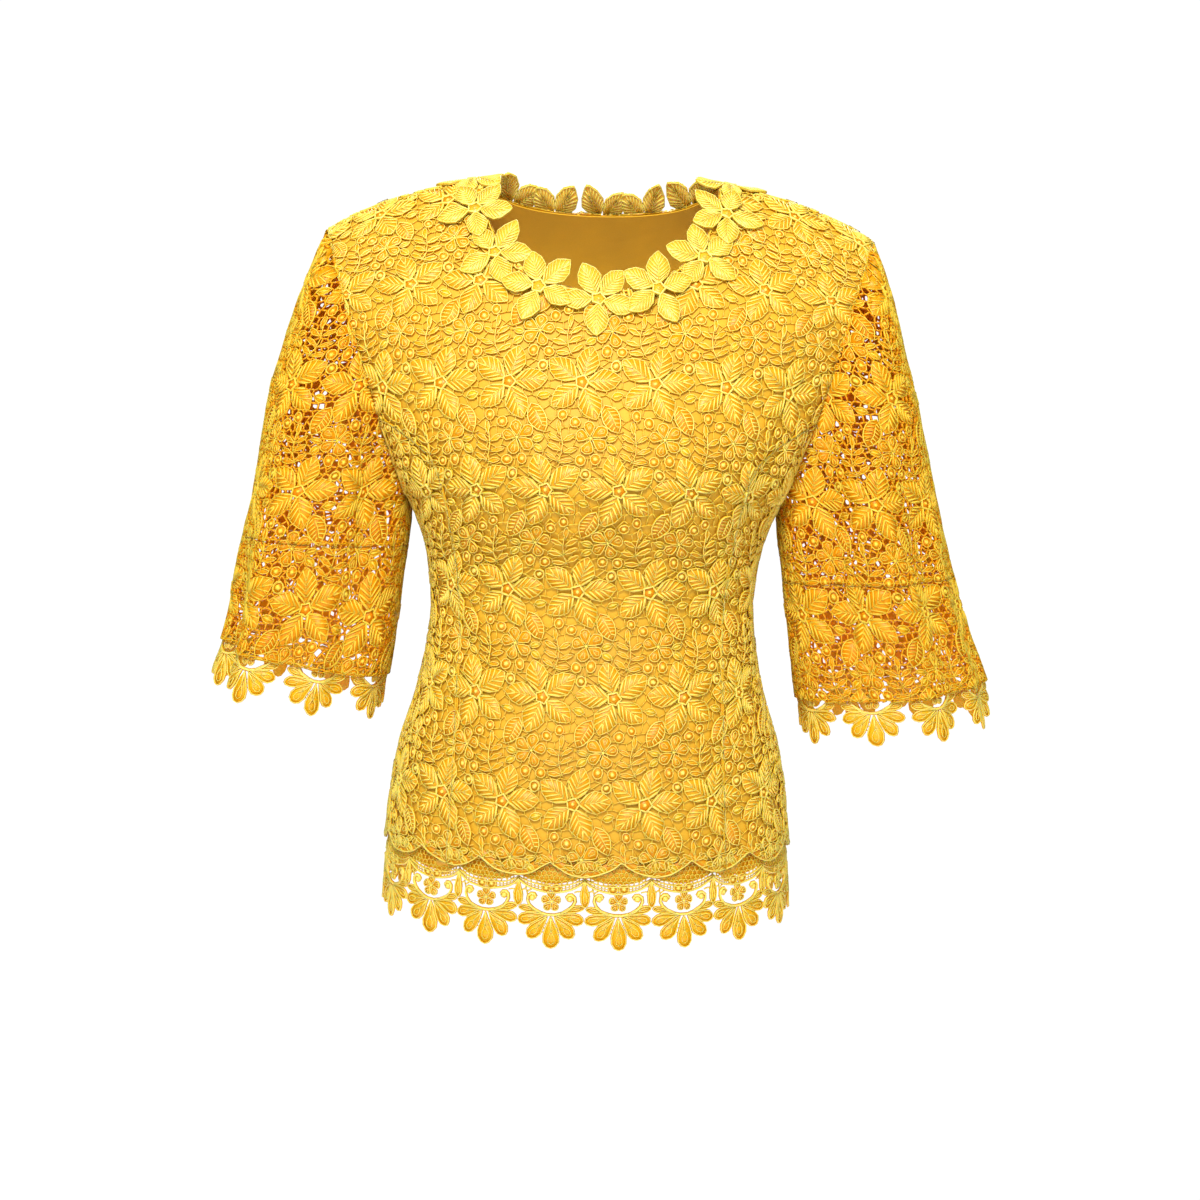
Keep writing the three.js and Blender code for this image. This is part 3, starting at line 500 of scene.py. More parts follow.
class Drawing:
    """Flat lace: closed raised shapes, each vertex with a tone from 0, deep, to 1, raised; low
    tones are painted shade, high tones painted highlight.
    """

    def __init__(self):
        self.bm = bmesh.new()
        self.tone = self.bm.verts.layers.float.new("tone")
        self.body = self.bm.verts.layers.int.new("body")
        self.bodies, self.lift = 0, 0.0

    def shade(self, verts, low, high, top):
        """Tones one shape's verts by their height, from painted shade at its foot to painted
        highlight at its top, numbers the shape and lifts it.
        """
        self.bodies += 1
        for vert in verts:
            vert[self.tone] = low + (high - low) * min(max(vert.co.z / top, 0), 1)
            vert[self.body] = self.bodies
            vert.co.z += self.lift

    def cord(self, path, width, top, base=0.3, closed=False, low=0.05, high=1.0, fine=False):
        """A raised cord with a flat underside; an open one thins to its ends unless it is fine."""
        count = len(path)
        rows = count if closed else count - 1
        path = np.asarray(path, complex)
        ahead = np.roll(path, -1) - np.roll(path, 1) if closed else np.gradient(path)
        side = 1j * ahead / np.abs(ahead)
        made = bmesh.ops.create_grid(self.bm, x_segments=rows, y_segments=3, size=0.5)["verts"]
        for vert in made:
            i = round((vert.co.x + 0.5) * rows)
            j = round((vert.co.y + 0.5) * 3) % 3
            thin = 0.0 if i in (0, rows) and not (closed or fine) else 1.0
            at = path[i % count] + side[i % count] * width / 2 * thin * (-1, 0, 1)[j]
            vert.co = (at.real, at.imag, base + (top - base) if j == 1 and thin else base)
        self.shade(made, low, high, top)
        bmesh.ops.remove_doubles(self.bm, verts=made, dist=1e-4)
        ends = dict.fromkeys(edge for vert in made if vert.is_valid for edge in vert.link_edges
                             if edge.is_boundary)
        if ends:
            bmesh.ops.holes_fill(self.bm, edges=list(ends), sides=4)

    def plate(self, outline, thick, tone):
        """A flat satin-stitched shape."""
        ring = bmesh.ops.create_circle(self.bm, cap_ends=True, segments=len(outline),
                                       radius=1)["verts"]
        for vert, at in zip(ring, outline):
            vert.co = (at.real, at.imag, 0)
        self.thicken(ring, thick, tone)

    def blade(self, outline, thick, tone):
        """A flat leaf that can bend along its middle; its outline goes out and comes back."""
        rows = len(outline) // 2
        back = np.append(outline[0], outline[:rows - 1:-1])
        made = bmesh.ops.create_grid(self.bm, x_segments=rows, y_segments=2, size=0.5)["verts"]
        for vert in made:
            i, j = round((vert.co.x + 0.5) * rows), round((vert.co.y + 0.5) * 2)
            at = (outline[i] * (2 - j) + back[i] * j) / 2
            vert.co = (at.real, at.imag, 0)
        bmesh.ops.remove_doubles(self.bm, verts=made, dist=1e-4)
        self.thicken([vert for vert in made if vert.is_valid], thick, tone)

    def thicken(self, flat, thick, tone):
        """Gives a flat shape its thickness."""
        faces = dict.fromkeys(face for vert in flat for face in vert.link_faces)
        grown = bmesh.ops.extrude_face_region(self.bm, geom=list(faces))["geom"]
        upper = [item for item in grown if isinstance(item, bmesh.types.BMVert)]
        bmesh.ops.translate(self.bm, verts=upper, vec=(0, 0, thick))
        self.shade(flat + upper, tone, tone, 1)

    def stitch(self, start, end, width, top, taper=0.7):
        """A ridge of satin stitches between two places."""
        radius, base = width / math.sqrt(3), 0.4
        made = self.ridge(start, end, radius, radius * taper, base + (top - base) / 3,
                          (top - base) / 1.5 / radius)
        self.shade(made, 0.3, 0.95, top)

    def ridge(self, start, end, radius, radius_end, height, flatness):
        """A three-sided ridge with its edge upwards, its axis at a height."""
        along, middle = end - start, (start + end) / 2
        matrix = (Matrix.Translation((middle.real, middle.imag, height))
                  @ Matrix.Rotation(math.atan2(along.imag, along.real), 4, "Z")
                  @ Matrix.Diagonal((1, 1, flatness, 1))
                  @ Matrix.Rotation(math.pi / 2, 4, "Y") @ Matrix.Rotation(math.pi / 2, 4, "Z"))
        return bmesh.ops.create_cone(self.bm, cap_ends=True, segments=3, radius1=radius,
                                     radius2=radius_end, depth=abs(along),
                                     matrix=matrix)["verts"]

    def bead(self, at, radius, top, base=0.3):
        """A round knot."""
        matrix = (Matrix.Translation((at.real, at.imag, base))
                  @ Matrix.Diagonal((radius, radius, top - base, 1)))
        made = bmesh.ops.create_icosphere(self.bm, subdivisions=1, radius=1, matrix=matrix)
        self.shade(made["verts"], 0.35, 1.0, top)

    def bar(self, start, end, width, low=0.45, high=0.8):
        """A thin bar of buttonhole stitches."""
        if abs(end - start) < 0.3:
            return
        radius = width / math.sqrt(3)
        self.shade(self.ridge(start, end, radius, radius, radius / 2 + 0.05, 1.0), low, high, 1.0)

    def finish(self):
        """The drawing as arrays: points, triangles facing outwards, tones and shapes' numbers."""
        bm = self.bm
        bmesh.ops.recalc_face_normals(bm, faces=bm.faces)
        bmesh.ops.triangulate(bm, faces=bm.faces)
        bm.verts.index_update()
        points = np.array([vert.co for vert in bm.verts], float).reshape(-1, 3)
        tones = np.array([vert[self.tone] for vert in bm.verts], float)
        body = np.array([vert[self.body] for vert in bm.verts], int)
        faces = np.array([[vert.index for vert in face.verts] for face in bm.faces],
                         int).reshape(-1, 3)
        bm.free()
        return points, faces, tones, body


class Lace:
    """Lace drawn in two layers: the ground's plates and bars, and the cording on it."""

    def __init__(self):
        self.ground, self.cording = Drawing(), Drawing()
        self.shapes = []

    def plate(self, outline, tone, thick=PLATE):
        """A plate of the ground, remembered as a place that needs no bars."""
        # A plate's one tone uses the same scale: low tones are painted shade under the cords.
        self.ground.plate(outline, thick, tone)
        self.shapes.append(outline)

    def edged(self, outline, tone, width, top, base=0.4):
        """A plate with a cord along its edge."""
        self.plate(outline, tone)
        self.cording.cord(outline, width, top, base, closed=True)

    def petal(self, root, along, length, width, veins):
        """A pointed petal: plate, outline, midrib and slanting satin veins."""
        belly = 1.02
        outline = root + along * leaf(length, width, belly, 6, 0.85)
        # The petal's plate is toned low: painted shade in the slots between its veins.
        self.ground.blade(outline, PLATE, tone=0.25)
        self.shapes.append(outline)
        self.cording.cord(outline, 1.1, CORD_TOP - 0.3, base=0.4, closed=True, high=0.9)
        rib = root + along * length * np.array([0, 0.35, 0.7, 0.97])
        self.cording.cord(rib, 1.0, CORD_TOP - 0.3, base=0.4, high=0.9)
        for k in range(veins):
            t = 0.02 + 0.64 * k / (veins - 1)
            reach = t + 0.33 - 0.07 * k / (veins - 1)
            half = width / 2 * math.sin(math.pi * reach**belly) ** 0.85
            for side in (1, -1):
                start = root + along * (length * t + 0.4j * side)
                end = root + along * (length * reach + 1j * side * max(half - 0.4, 0.6))
                self.cording.stitch(start, end, 10.5 / veins, CORD_TOP, taper=0.8)

    def big_flower(self, centre, angles, mirror=False, veins=5):
        """Five veined petals round a five-lobed ring and a bead."""
        for angle, share in angles:
            turn = np.exp(1j * math.radians(180 - angle if mirror else angle))
            self.petal(centre + PETAL["from_centre"] * turn, turn, PETAL["length"] * share,
                       PETAL["width"] * share, veins)
        lobes = np.arange(15) / 15 * 2 * np.pi
        ring = centre + (4.6 + 0.7 * np.cos(5 * lobes)) * np.exp(1j * lobes)
        self.plate(circle(centre, 5.2, 10), tone=0.1)
        self.cording.cord(ring, 2.1, CORD_TOP + 0.5, base=0.4, closed=True, low=0.4)
        self.cording.bead(centre, 1.7, CORD_TOP + 0.3)

    def small_flower(self, centre, petals, turn_to):
        """Five heart-shaped petals with an outline and an inner loop."""
        for angle, length, width in petals:
            turn = turn_to(np.exp(1j * math.radians(angle)))
            root = centre + 1.2 * turn
            outline = root + turn * leaf(length - 1.2, width, 1.75, 5, 0.6)
            self.edged(outline, 0.2, 1.2, CORD_TOP - 0.1)
            inner = root + turn * (length * 0.36 + leaf(length * 0.42, width * 0.42, 1.5, 3, 0.7))
            self.cording.cord(inner, 1.0, CORD_TOP - 0.3, base=0.4, closed=True)
        self.cording.bead(centre, 1.5, CORD_TOP)

    def comb_leaf(self, root, tip):
        """A leaf with a curved midrib and a comb of short bars on each side of it."""
        along, turn, length = way(root, tip)
        self.edged(root + turn * leaf(length, length * 0.56, 0.9, 6, 0.7), 0.15, 1.4, CORD_TOP)
        bend = 0.05j * np.sin(np.linspace(0, np.pi, 5))
        rib = root + along * (np.linspace(0.05, 0.92, 5) + bend)
        self.cording.cord(rib, 1.2, CORD_TOP - 0.1, base=0.4)
        for t in np.linspace(0.14, 0.76, 6):
            for side in (1, -1):
                start = root + along * t + turn * 0.5j * side
                reach = 0.25 * math.sin(math.pi * (t + 0.08) ** 0.9) ** 0.7 * length
                self.cording.stitch(start, start + turn * (2.4 + 1j * side * reach), 1.5,
                                    CORD_TOP - 0.3, taper=0.8)

    def fern(self, stem, leaflets):
        """A sprig: a stem and looped leaflets."""
        self.cording.cord(stem, 1.1, CORD_TOP - 0.2, base=0.1)
        for root, tip in leaflets:
            _, turn, length = way(root, tip)
            outline = root + turn * leaf(length, 3.6, 1.35, 4, 0.8)
            self.edged(outline, 0.3, 1.1, CORD_TOP - 0.1, 0.3)

    def ring(self, centre, radius, squash=1.0):
        """A ring round a bead."""
        self.plate(circle(centre, radius, 8, squash), tone=0.15)
        self.cording.cord(circle(centre, radius, 9, squash), 1.25, CORD_TOP - 0.1, base=0.3,
                          closed=True)
        self.cording.bead(centre, radius * 0.55, CORD_TOP + 0.1)

    def bud(self, root, tip, width):
        """A plump bud with one vein."""
        along, turn, length = way(root, tip)
        self.edged(root + turn * leaf(length, width, 0.9, 4, 0.7), 0.5, 1.1, CORD_TOP - 0.2)
        self.cording.stitch(root + 0.2 * along, root + 0.85 * along, width * 0.42, CORD_TOP - 0.2)

    def inside(self, places, period):
        """Which places lie inside a plate, or in its copy a whole repeat away."""
        found = np.zeros(len(places), bool)
        wide, high = period
        copies = [i * wide + 1j * j * high for i in (-1, 0, 1) for j in (-1, 0, 1)]
        for outline in (shape + copy for shape in self.shapes for copy in copies):
            a, b = outline[:, None], np.roll(outline, -1)[:, None]
            crosses = (a.imag > places.imag) != (b.imag > places.imag)
            with np.errstate(divide="ignore", invalid="ignore"):
                at = a.real + (places.imag - a.imag) / (b.imag - a.imag) * (b.real - a.real)
            found |= (crosses & (places.real < at)).sum(0) % 2 == 1
        return found

    def net(self, box, cells, seed, width, keep=None, tones=(0.45, 0.8)):
        """Thin bars as a shaken honeycomb that repeats over a box, where no plate hides them."""
        corner, wide, high = box
        starts, ends = honeycomb(cells, (wide, high), seed, 0.23)
        starts, ends = corner + starts, corner + ends
        shown = np.zeros(len(starts), bool)
        for t in (0.12, 0.3, 0.5, 0.7, 0.88):
            shown |= ~self.inside(starts * (1 - t) + ends * t, (wide, high))
        if keep is not None:
            shown &= keep(starts) & keep(ends)
        for start, end in zip(starts[shown], ends[shown]):
            self.ground.bar(start, end, width, *tones)


def honeycomb(cells, size, seed, jitter):
    """Both ends of each bar of a honeycomb that repeats itself, shaken by a share of a cell."""
    (across, rows), (wide, high) = cells, size
    step, rise = wide / across, high / rows
    shake = np.random.default_rng(seed).uniform(-jitter, jitter, (across, rows, 2, 2)) * step

    def node(i, j, k):
        dx, dy = shake[i % across, j % rows, k]
        half = j % 2 / 2 + (k + 1) / 2
        return complex((i + half) * step + dx, (j + (k + 1) / 3) * rise + dy)
    ends = [(node(i, j, 0), other) for j in range(rows) for i in range(across)
            for other in (node(i, j, 1), node(i - 1, j, 1), node(i - 1 + j % 2, j - 1, 1))]
    return np.array([end[0] for end in ends]), np.array([end[1] for end in ends])


PETALS = ((6, 1.02), (75, 1.0), (145, 1.05), (220, 0.98), (292, 1.04))
SMALL_PETALS = ((98, 12.8, 8.6), (34, 13.8, 9.0), (164, 11.4, 8.4), (252, 12.2, 8.8),
                (327, 13.2, 8.8))


def lace_group(lace, at, mirror):
    """One repeat of the lace's flowers and leaves, round a big flower's centre."""
    flip = -1 if mirror else 1

    def place(x, down):
        return at + complex(flip * x, -down)

    def turned(turn):
        return complex(flip * turn.real, turn.imag)
    lace.big_flower(at, PETALS, mirror)
    lace.small_flower(place(7.4, 41.5), SMALL_PETALS, turned)
    lace.comb_leaf(place(16.9, 16.6), place(27.4, 37.4))
    stem = [place(*p) for p in ((-15.7, 31), (-14.4, 38), (-13.2, 46), (-14, 53), (-16.6, 59),
                                (-20, 63.5))]
    lace.fern(stem, [(place(*a), place(*b)) for a, b in (
        ((-15.3, 39), (-16.2, 28.5)), ((-14.4, 44.2), (-24, 38.4)), ((-13.6, 51), (-24.4, 45.4)),
        ((-16, 58.4), (-25.4, 52.2)), ((-13.2, 44), (-4.6, 39.2)), ((-13.2, 52), (-2.2, 48.8)),
        ((-16.4, 59), (-5.2, 58)))])
    for x, down, radius, squash in ((-13.6, 24.6, 3.3, 1.15), (-4.3, 29.6, 3.8, 1),
                                    (0, 57.8, 3.8, 1), (-29.5, -12.4, 3.7, 1.05),
                                    (11.2, 57, 3.6, 1.2), (3.9, 68.2, 3.7, 1.1)):
        lace.ring(place(x, down), radius, squash)
    lace.bud(place(-32.4, 11.2), place(-23, 8.6), 5.8)
    lace.bud(place(18.4, 43), place(27, 40.6), 4.6)
    lace.bud(place(19.6, 46.6), place(26.8, 51.8), 5.4)
    for a, b in (((-13.6, 20), (-13.2, 16.4)), ((7.2, 54), (9, 64)), ((9, 64), (17, 70)),
                 ((-20, 63.5), (-24.6, 67.4)), ((27.4, 37.4), (31.5, 36))):
        lace.ground.bar(place(*a), place(*b), 1.0)


FLOWERET = ((90, 7.4, 5.4), (18, 7.2, 5.4), (-54, 7.2, 5.4), (-126, 7.2, 5.4), (162, 7.2, 5.4))
UPPER, LOWER = (1.0, 6.6), (3.2, 9.2)   # crescents: how far down at their ends, and how deep
CUP = ((-11.6, 17.8), (-11.5, 15.6), (-13, 13.8), (-15.6, 13.5), (-17.8, 15.4), (-18, 18.6),
       (-16.4, 22.2), (-13, 25.4), (-8.4, 27.8), (-3, 29.2))
FAN_PETALS = (   # root x and down, tip x and down, width
    (-6.5, 27.6, -24.3, 24.0, 4.8), (-4.2, 29.4, -24.4, 34.2, 8.4), (-2.6, 30.4, -16.6, 47.2, 10.4),
    (0.2, 30.6, 0.8, 55.0, 11.8), (3.0, 30.4, 16.8, 46.4, 10.4), (4.4, 29.4, 24.6, 33.6, 8.4),
    (7.0, 27.6, 24.5, 22.8, 5.0))


def drop_petal(lace, root, tip, width):
    """A stitched drop with a raised outline and an inner one."""
    along, turn, length = way(root, tip)
    lace.edged(root + turn * leaf(length, width, 1.9, 7, 0.55), 0.4, 1.4, CORD_TOP + 0.1, 0.3)
    inner = root + turn * (length * 0.45 + leaf(length * 0.42, width * 0.46, 1.7, 4, 0.6))
    lace.cording.cord(inner, 1.0, CORD_TOP - 0.3, base=0.4, closed=True)
    lace.cording.stitch(root + along * 0.06, root + along * 0.5, width * 0.2, CORD_TOP - 0.2)


def fan(lace, rise=0.0):
    """A floweret in a curled cup, with seven drop petals below it."""
    def at(x, down):
        return complex(x, rise - down)
    lace.small_flower(at(0, 19.2), FLOWERET, lambda turn: turn)
    cup = [at(x, down) for x, down in CUP]
    cup += [at(-x, down) for x, down in CUP[::-1]]
    lace.ground.cord(cup, 2.8, 2.1, base=0.0, low=0.5)
    for side in (-1, 1):
        lace.ground.bead(at(side * 14.4, 16.6), 2.9, 1.7, base=0.1)
    for x0, d0, x1, d1, width in FAN_PETALS:
        drop_petal(lace, at(x0, d0), at(x1, d1), width)
    for one, two in zip(FAN_PETALS, FAN_PETALS[1:]):
        for t in (0.3, 0.45, 0.6):
            ends = [at(x0 + (x1 - x0) * t, d0 + (d1 - d0) * t)
                    for x0, d0, x1, d1, _ in (one, two)]
            lace.ground.bar(*ends, 0.9)


def crescent(t, first, deep):
    """How far down a crescent hangs, at t from -1 to 1 across it."""
    return first + deep * np.maximum(1 - t**2, 0) ** 0.8


def hem_fan(pitch):
    """One repeat of the hem edging: a net band, a double crescent, its pendant and a fan."""
    lace = Lace()
    sag = np.linspace(-1, 1, 15)
    upper = sag * pitch / 2 - 1j * crescent(sag, *UPPER)
    lower = sag * pitch / 2 - 1j * crescent(sag, *LOWER)
    band = np.concatenate([upper + 2.4j, [complex(pitch / 2, 15), complex(-pitch / 2, 15)]])
    lace.plate(band, tone=0.3, thick=0.4)
    for line, width in ((upper, 1.3), (lower, 1.9)):
        lace.ground.cord(line, width, CORD_TOP, base=0.0, fine=True, low=0.4)
    for t in np.linspace(-0.93, 0.93, 19):
        lace.ground.bar(complex(t * pitch / 2, -crescent(t, *UPPER)),
                        complex(t * pitch / 2, -crescent(t, *LOWER)), 0.9)
    lace.ground.cord((upper + lower) / 2, 0.8, 0.9, base=0.0, fine=True)
    for side in (-1, 1):
        lace.ring(complex(side * 4.1, -8.8), 3.5)
    drop_petal(lace, complex(pitch / 2, -2.4), complex(pitch / 2, -22.6), 6.2)   # the pendant
    fan(lace)
    corner = complex(-pitch / 2, -11)
    starts, ends = honeycomb((13, 8), (pitch, 26.0), 5, 0.1)
    for start, end in zip(starts + corner, ends + corner):
        middle = (start + end) / 2
        if middle.imag > -crescent(2 * middle.real / pitch, 0.6, 6.6):
            lace.ground.bar(start, end, 1.1, 0.35, 0.8)
    lace.net((complex(-pitch / 2, -32), pitch, 28.0), (10, 6), 11, 1.2, keep=lambda place: (
        (-place.imag > crescent(2 * place.real / pitch, 3.0, 9.2)) & (-place.imag < 26.5)))
    return lace


def neck_edge(depth, spacings):
    """Places evenly along half of the neck's edge, each with the way into the neck."""
    steps = np.arange(400)
    line = neck_line(np.linspace(0, np.pi, len(steps)), NECK["half"], depth)
    length = np.concatenate([[0], np.cumsum(np.abs(np.diff(line)))])
    at = np.interp(np.arange(spacings + 1) / spacings * length[-1], length, steps)
    here = np.interp(at, steps, line.real) + 1j * np.interp(at, steps, line.imag)
    near = np.clip(at.astype(int), 1, len(steps) - 2)
    ahead = line[near + 1] - line[near - 1]
    return here, 1j * ahead / np.abs(ahead), length[-1]


TRIM_OFFSETS = ((24, 1.05), (-38, 1.0), (-104, 1.0), (178, 1.02), (92, 0.95))


def trim_flowers(depth, spacings, ends):
    """Flowers along half of the neck, two petals of each past its edge, every other one raised."""
    upper, under = Lace(), Lace()
    places, inwards, length = neck_edge(depth, spacings)
    for k, (place, into) in enumerate(zip(places, inwards)):
        if k in (0, spacings) and not ends:
            continue
        flip = -1 if k % 2 else 1
        lean = math.degrees(math.atan2(into.imag, into.real))
        petals = [(lean + flip * angle, share) for angle, share in TRIM_OFFSETS]
        for lace, way_out in ((upper, 1), (under, -1)):
            lace.ground.lift = lace.cording.lift = way_out * TRIM["lift"] * (k % 2)
            lace.big_flower(place - into * TRIM["inset"], petals, veins=7)
    under.ground.bm.free()
    return upper, under, length


def supercell(settings, cells, bar, tones):
    """Two rows of the repeat, the second mirrored and shifted by half, with their bars."""
    wide, high = settings.across, 2 * settings.row
    lace = Lace()
    lace_group(lace, 0j, False)
    lace_group(lace, complex(-settings.shift, -settings.row), True)
    lace.net((0j, wide, high), cells, settings.seed, bar, tones=tones)
    return lace.ground.finish(), lace.cording.finish()


# ---- Meshes ----

def repeat(template, offsets):
    """Copies of a drawing's arrays at offsets."""
    points, faces, tones, body = template
    count, copies = len(points), np.arange(len(offsets))
    moved = (points[None] + np.asarray(offsets)[:, None, :]).reshape(-1, 3)
    index = (faces[None] + (copies * count)[:, None, None]).reshape(-1, 3)
    numbers = (body[None] + (copies * (body.max() + 1))[:, None]).ravel()
    return moved, index, np.tile(tones, len(copies)), numbers


def joined(parts):
    """Several drawings' arrays as one."""
    start, number, all_arrays = 0, 0, [[], [], [], []]
    for points, faces, tones, body in parts:
        if not len(points):
            continue
        for rows, values in zip(all_arrays, (points, faces + start, tones, body + number)):
            rows.append(values)
        start, number = start + len(points), number + body.max() + 1
    return tuple(np.concatenate(rows) for rows in all_arrays)


def cut_out(panel, arrays):
    """Keeps the shapes that touch a panel, with what lies outside moved to its edge."""
    points, faces, tones, body = arrays
    kept, inside = panel.keep(points)
    touched = np.zeros(body.max() + 1, bool)
    touched[body[inside]] = True
    return kept, faces[touched[body[faces[:, 0]]]], tones, body


def welded(arrays):
    """Joins each shape's verts that have come together, and drops what has no area left."""
    points, faces, tones, body = arrays
    keys = np.concatenate([np.round(points * WELD), body[:, None]], axis=1).astype(np.int64)
    keys = np.ascontiguousarray(keys).view([("", np.int64)] * 4).ravel()
    first, index = np.unique(keys, return_index=True, return_inverse=True)[1:]
    faces = index.ravel()[faces]
    whole = ((faces[:, 0] != faces[:, 1]) & (faces[:, 1] != faces[:, 2])
             & (faces[:, 2] != faces[:, 0]))
    used, faces = np.unique(faces[whole], return_inverse=True)
    return points[first][used], faces.reshape(-1, 3), tones[first][used]


def wander(along, across, every, drift, slow):
    """Waves along one way that drift to and fro along the other."""
    return np.sin(along / every + drift * np.sin(across / slow))


def swollen(points):
    """Flat points with the rise and fall of lace off what it lies on, and its unevenness."""
    x, y = points[:, 0], points[:, 1]
    wave = wander(x, y, 5.1, 1.3, 17) * wander(y, x, 6.3, 1.1, 23)
    return points + np.stack([UNEVEN * wander(x, y, 3.7, 2.1, 4.3),
                              UNEVEN * wander(y, x, 3.1, 1.7, 5.3),
                              SWELL * (0.5 + 0.5 * wave)], 1)


def shown(name, data):
    """A new object in the scene."""
    made = bpy.data.objects.new(name, data)
    bpy.context.scene.collection.objects.link(made)
    return made


def new_piece(name, mesh, slot):
    """An object for a mesh, with its slot's finish, on the blouse's only body."""
    mesh.materials.append(finishes()[slot])
    piece = shown(name, mesh)
    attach(piece, "root")
    return piece


def cloth_mesh(name, cloth, arrays, slot):
    """An object of flat arrays laid on a cloth, with its flat chart as a UV map."""
    points, faces, tones = welded(arrays)
    placed = cloth.lay(swollen(points)) * MM
    mesh = bpy.data.meshes.new(name)
    mesh.vertices.add(len(placed))
    mesh.vertices.foreach_set("co", placed.ravel())
    mesh.loops.add(faces.size)
    mesh.loops.foreach_set("vertex_index", faces.ravel())
    mesh.polygons.add(len(faces))
    mesh.polygons.foreach_set("loop_start", np.arange(0, faces.size, 3))
    corners = points[faces]
    normals = np.cross(corners[:, 1] - corners[:, 0], corners[:, 2] - corners[:, 0])
    underside = normals[:, 2] < UNDERSIDE * np.linalg.norm(normals, axis=1)
    mesh.polygons.foreach_set("use_smooth", ~underside)
    mesh.update(calc_edges=True)
    chart = mesh.uv_layers.new(name="cloth")
    chart.data.foreach_set("uv", (points[faces.ravel()][:, :2] * MM).ravel())
    tone = mesh.attributes.new("tone", "FLOAT", "POINT")
    tone.data.foreach_set("value", tones)
    return new_piece(name, mesh, slot)


def curled(arrays, depth):
    """Lifts what hangs past the neck's edge, more towards its tips."""
    points = arrays[0].copy()
    x, y = points[:, 0], points[:, 1]
    size = neck_size(x, y, depth) ** (1 / NECK["round"])
    past = np.maximum(1 - size, 0) * np.hypot(x, y) / np.maximum(size, 0.2)
    points[:, 2] += 0.01 * np.minimum(past, 20) ** 2
    return (points, *arrays[1:])


def moved_out(arrays, out):
    """A drawing's arrays, a distance further out."""
    points = arrays[0].copy()
    if len(points):
        points[:, 2] += out
    return (points, *arrays[1:])


def turned_over(arrays):
    """A drawing's arrays on the underside of their plates."""
    points = arrays[0].copy()
    points[:, 2] = PLATE - points[:, 2]
    return (points, arrays[1][:, ::-1], *arrays[2:])


def lay_edging(name, cloth, lace, offsets, out, slot, flat, curl=None, under=None):
    """Lays a drawn edging or trim on a cloth: its ground as a sheet, with its cording on it."""
    pieces = []
    for layer, drawing in (("ground", lace.ground), ("cording", lace.cording)):
        arrays = drawing.finish()
        if under and layer == "cording":
            arrays = joined([arrays, turned_over(under.cording.finish())])
        arrays = repeat(moved_out(arrays, out), offsets)
        if curl:
            arrays = curled(arrays, curl)
        pieces.append(cloth_mesh(f"{name}_{layer}", cloth, arrays, slot))
    sheet, cords = pieces
    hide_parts(name)
    area = sum(face.area for face in sheet.data.polygons) / 2
    share = min(max(area / (flat[0] * flat[1]), 0.3), 1.0)
    share * flat[0] * flat[1]


def backing_mesh(name, panel, slot):
    """A plain shell of a panel, with a wall."""
    bm = bmesh.new()
    width = float((panel.right(panel.cloth.v) - panel.left(panel.cloth.v)).max())
    bmesh.ops.create_grid(bm, x_segments=int(width / LINING["grid"]),
                          y_segments=int((panel.end - panel.top) / LINING["grid"]), size=0.5)
    flat = np.array([vert.co for vert in bm.verts])
    v = (0.5 - flat[:, 1]) * (panel.end - panel.top) + panel.top
    across = flat[:, 0] + 0.5
    flat = np.stack([panel.left(v) + across * (panel.right(v) - panel.left(v)), -v,
                     np.full(len(v), LINING["outer"])], 1)
    kept, inside = panel.keep(flat)
    gone = [face for face in bm.faces if not any(inside[vert.index] for vert in face.verts)]
    places = panel.cloth.lay(kept) * MM
    for vert, at in zip(bm.verts, places):
        vert.co = at
    chart = bm.loops.layers.uv.new("cloth")
    for face in bm.faces:
        face.smooth = True
        for loop in face.loops:
            loop[chart].uv = kept[loop.vert.index][:2] * MM
    bmesh.ops.delete(bm, geom=gone, context="FACES")
    bmesh.ops.remove_doubles(bm, verts=bm.verts, dist=1e-5)
    for edge in bm.edges:
        edge.smooth = not edge.is_boundary
    mesh = bpy.data.meshes.new(name)
    bm.to_mesh(mesh)
    bm.free()
    piece = new_piece(name, mesh, slot)
    wall = piece.modifiers.new("wall", "SOLIDIFY")
    wall.thickness = LINING["wall"] * MM
    wall.offset = -1
    return piece


# ---- Materials ----

class Value:
    """A node's output that adds Math nodes as it is used in an expression."""

    def __init__(self, finish, socket):
        self.finish, self.socket = finish, socket

    def math(self, operation, *values):
        return self.finish.node("ShaderNodeMath", {"operation": operation}, *values)

    def __add__(self, other):
        return self.math("ADD", self, other)

    def __sub__(self, other):
        return self.math("SUBTRACT", self, other)

    def __rsub__(self, other):
        return self.math("SUBTRACT", other, self)

    def __mul__(self, other):
        return self.math("MULTIPLY", self, other)

    __radd__, __rmul__ = __add__, __mul__


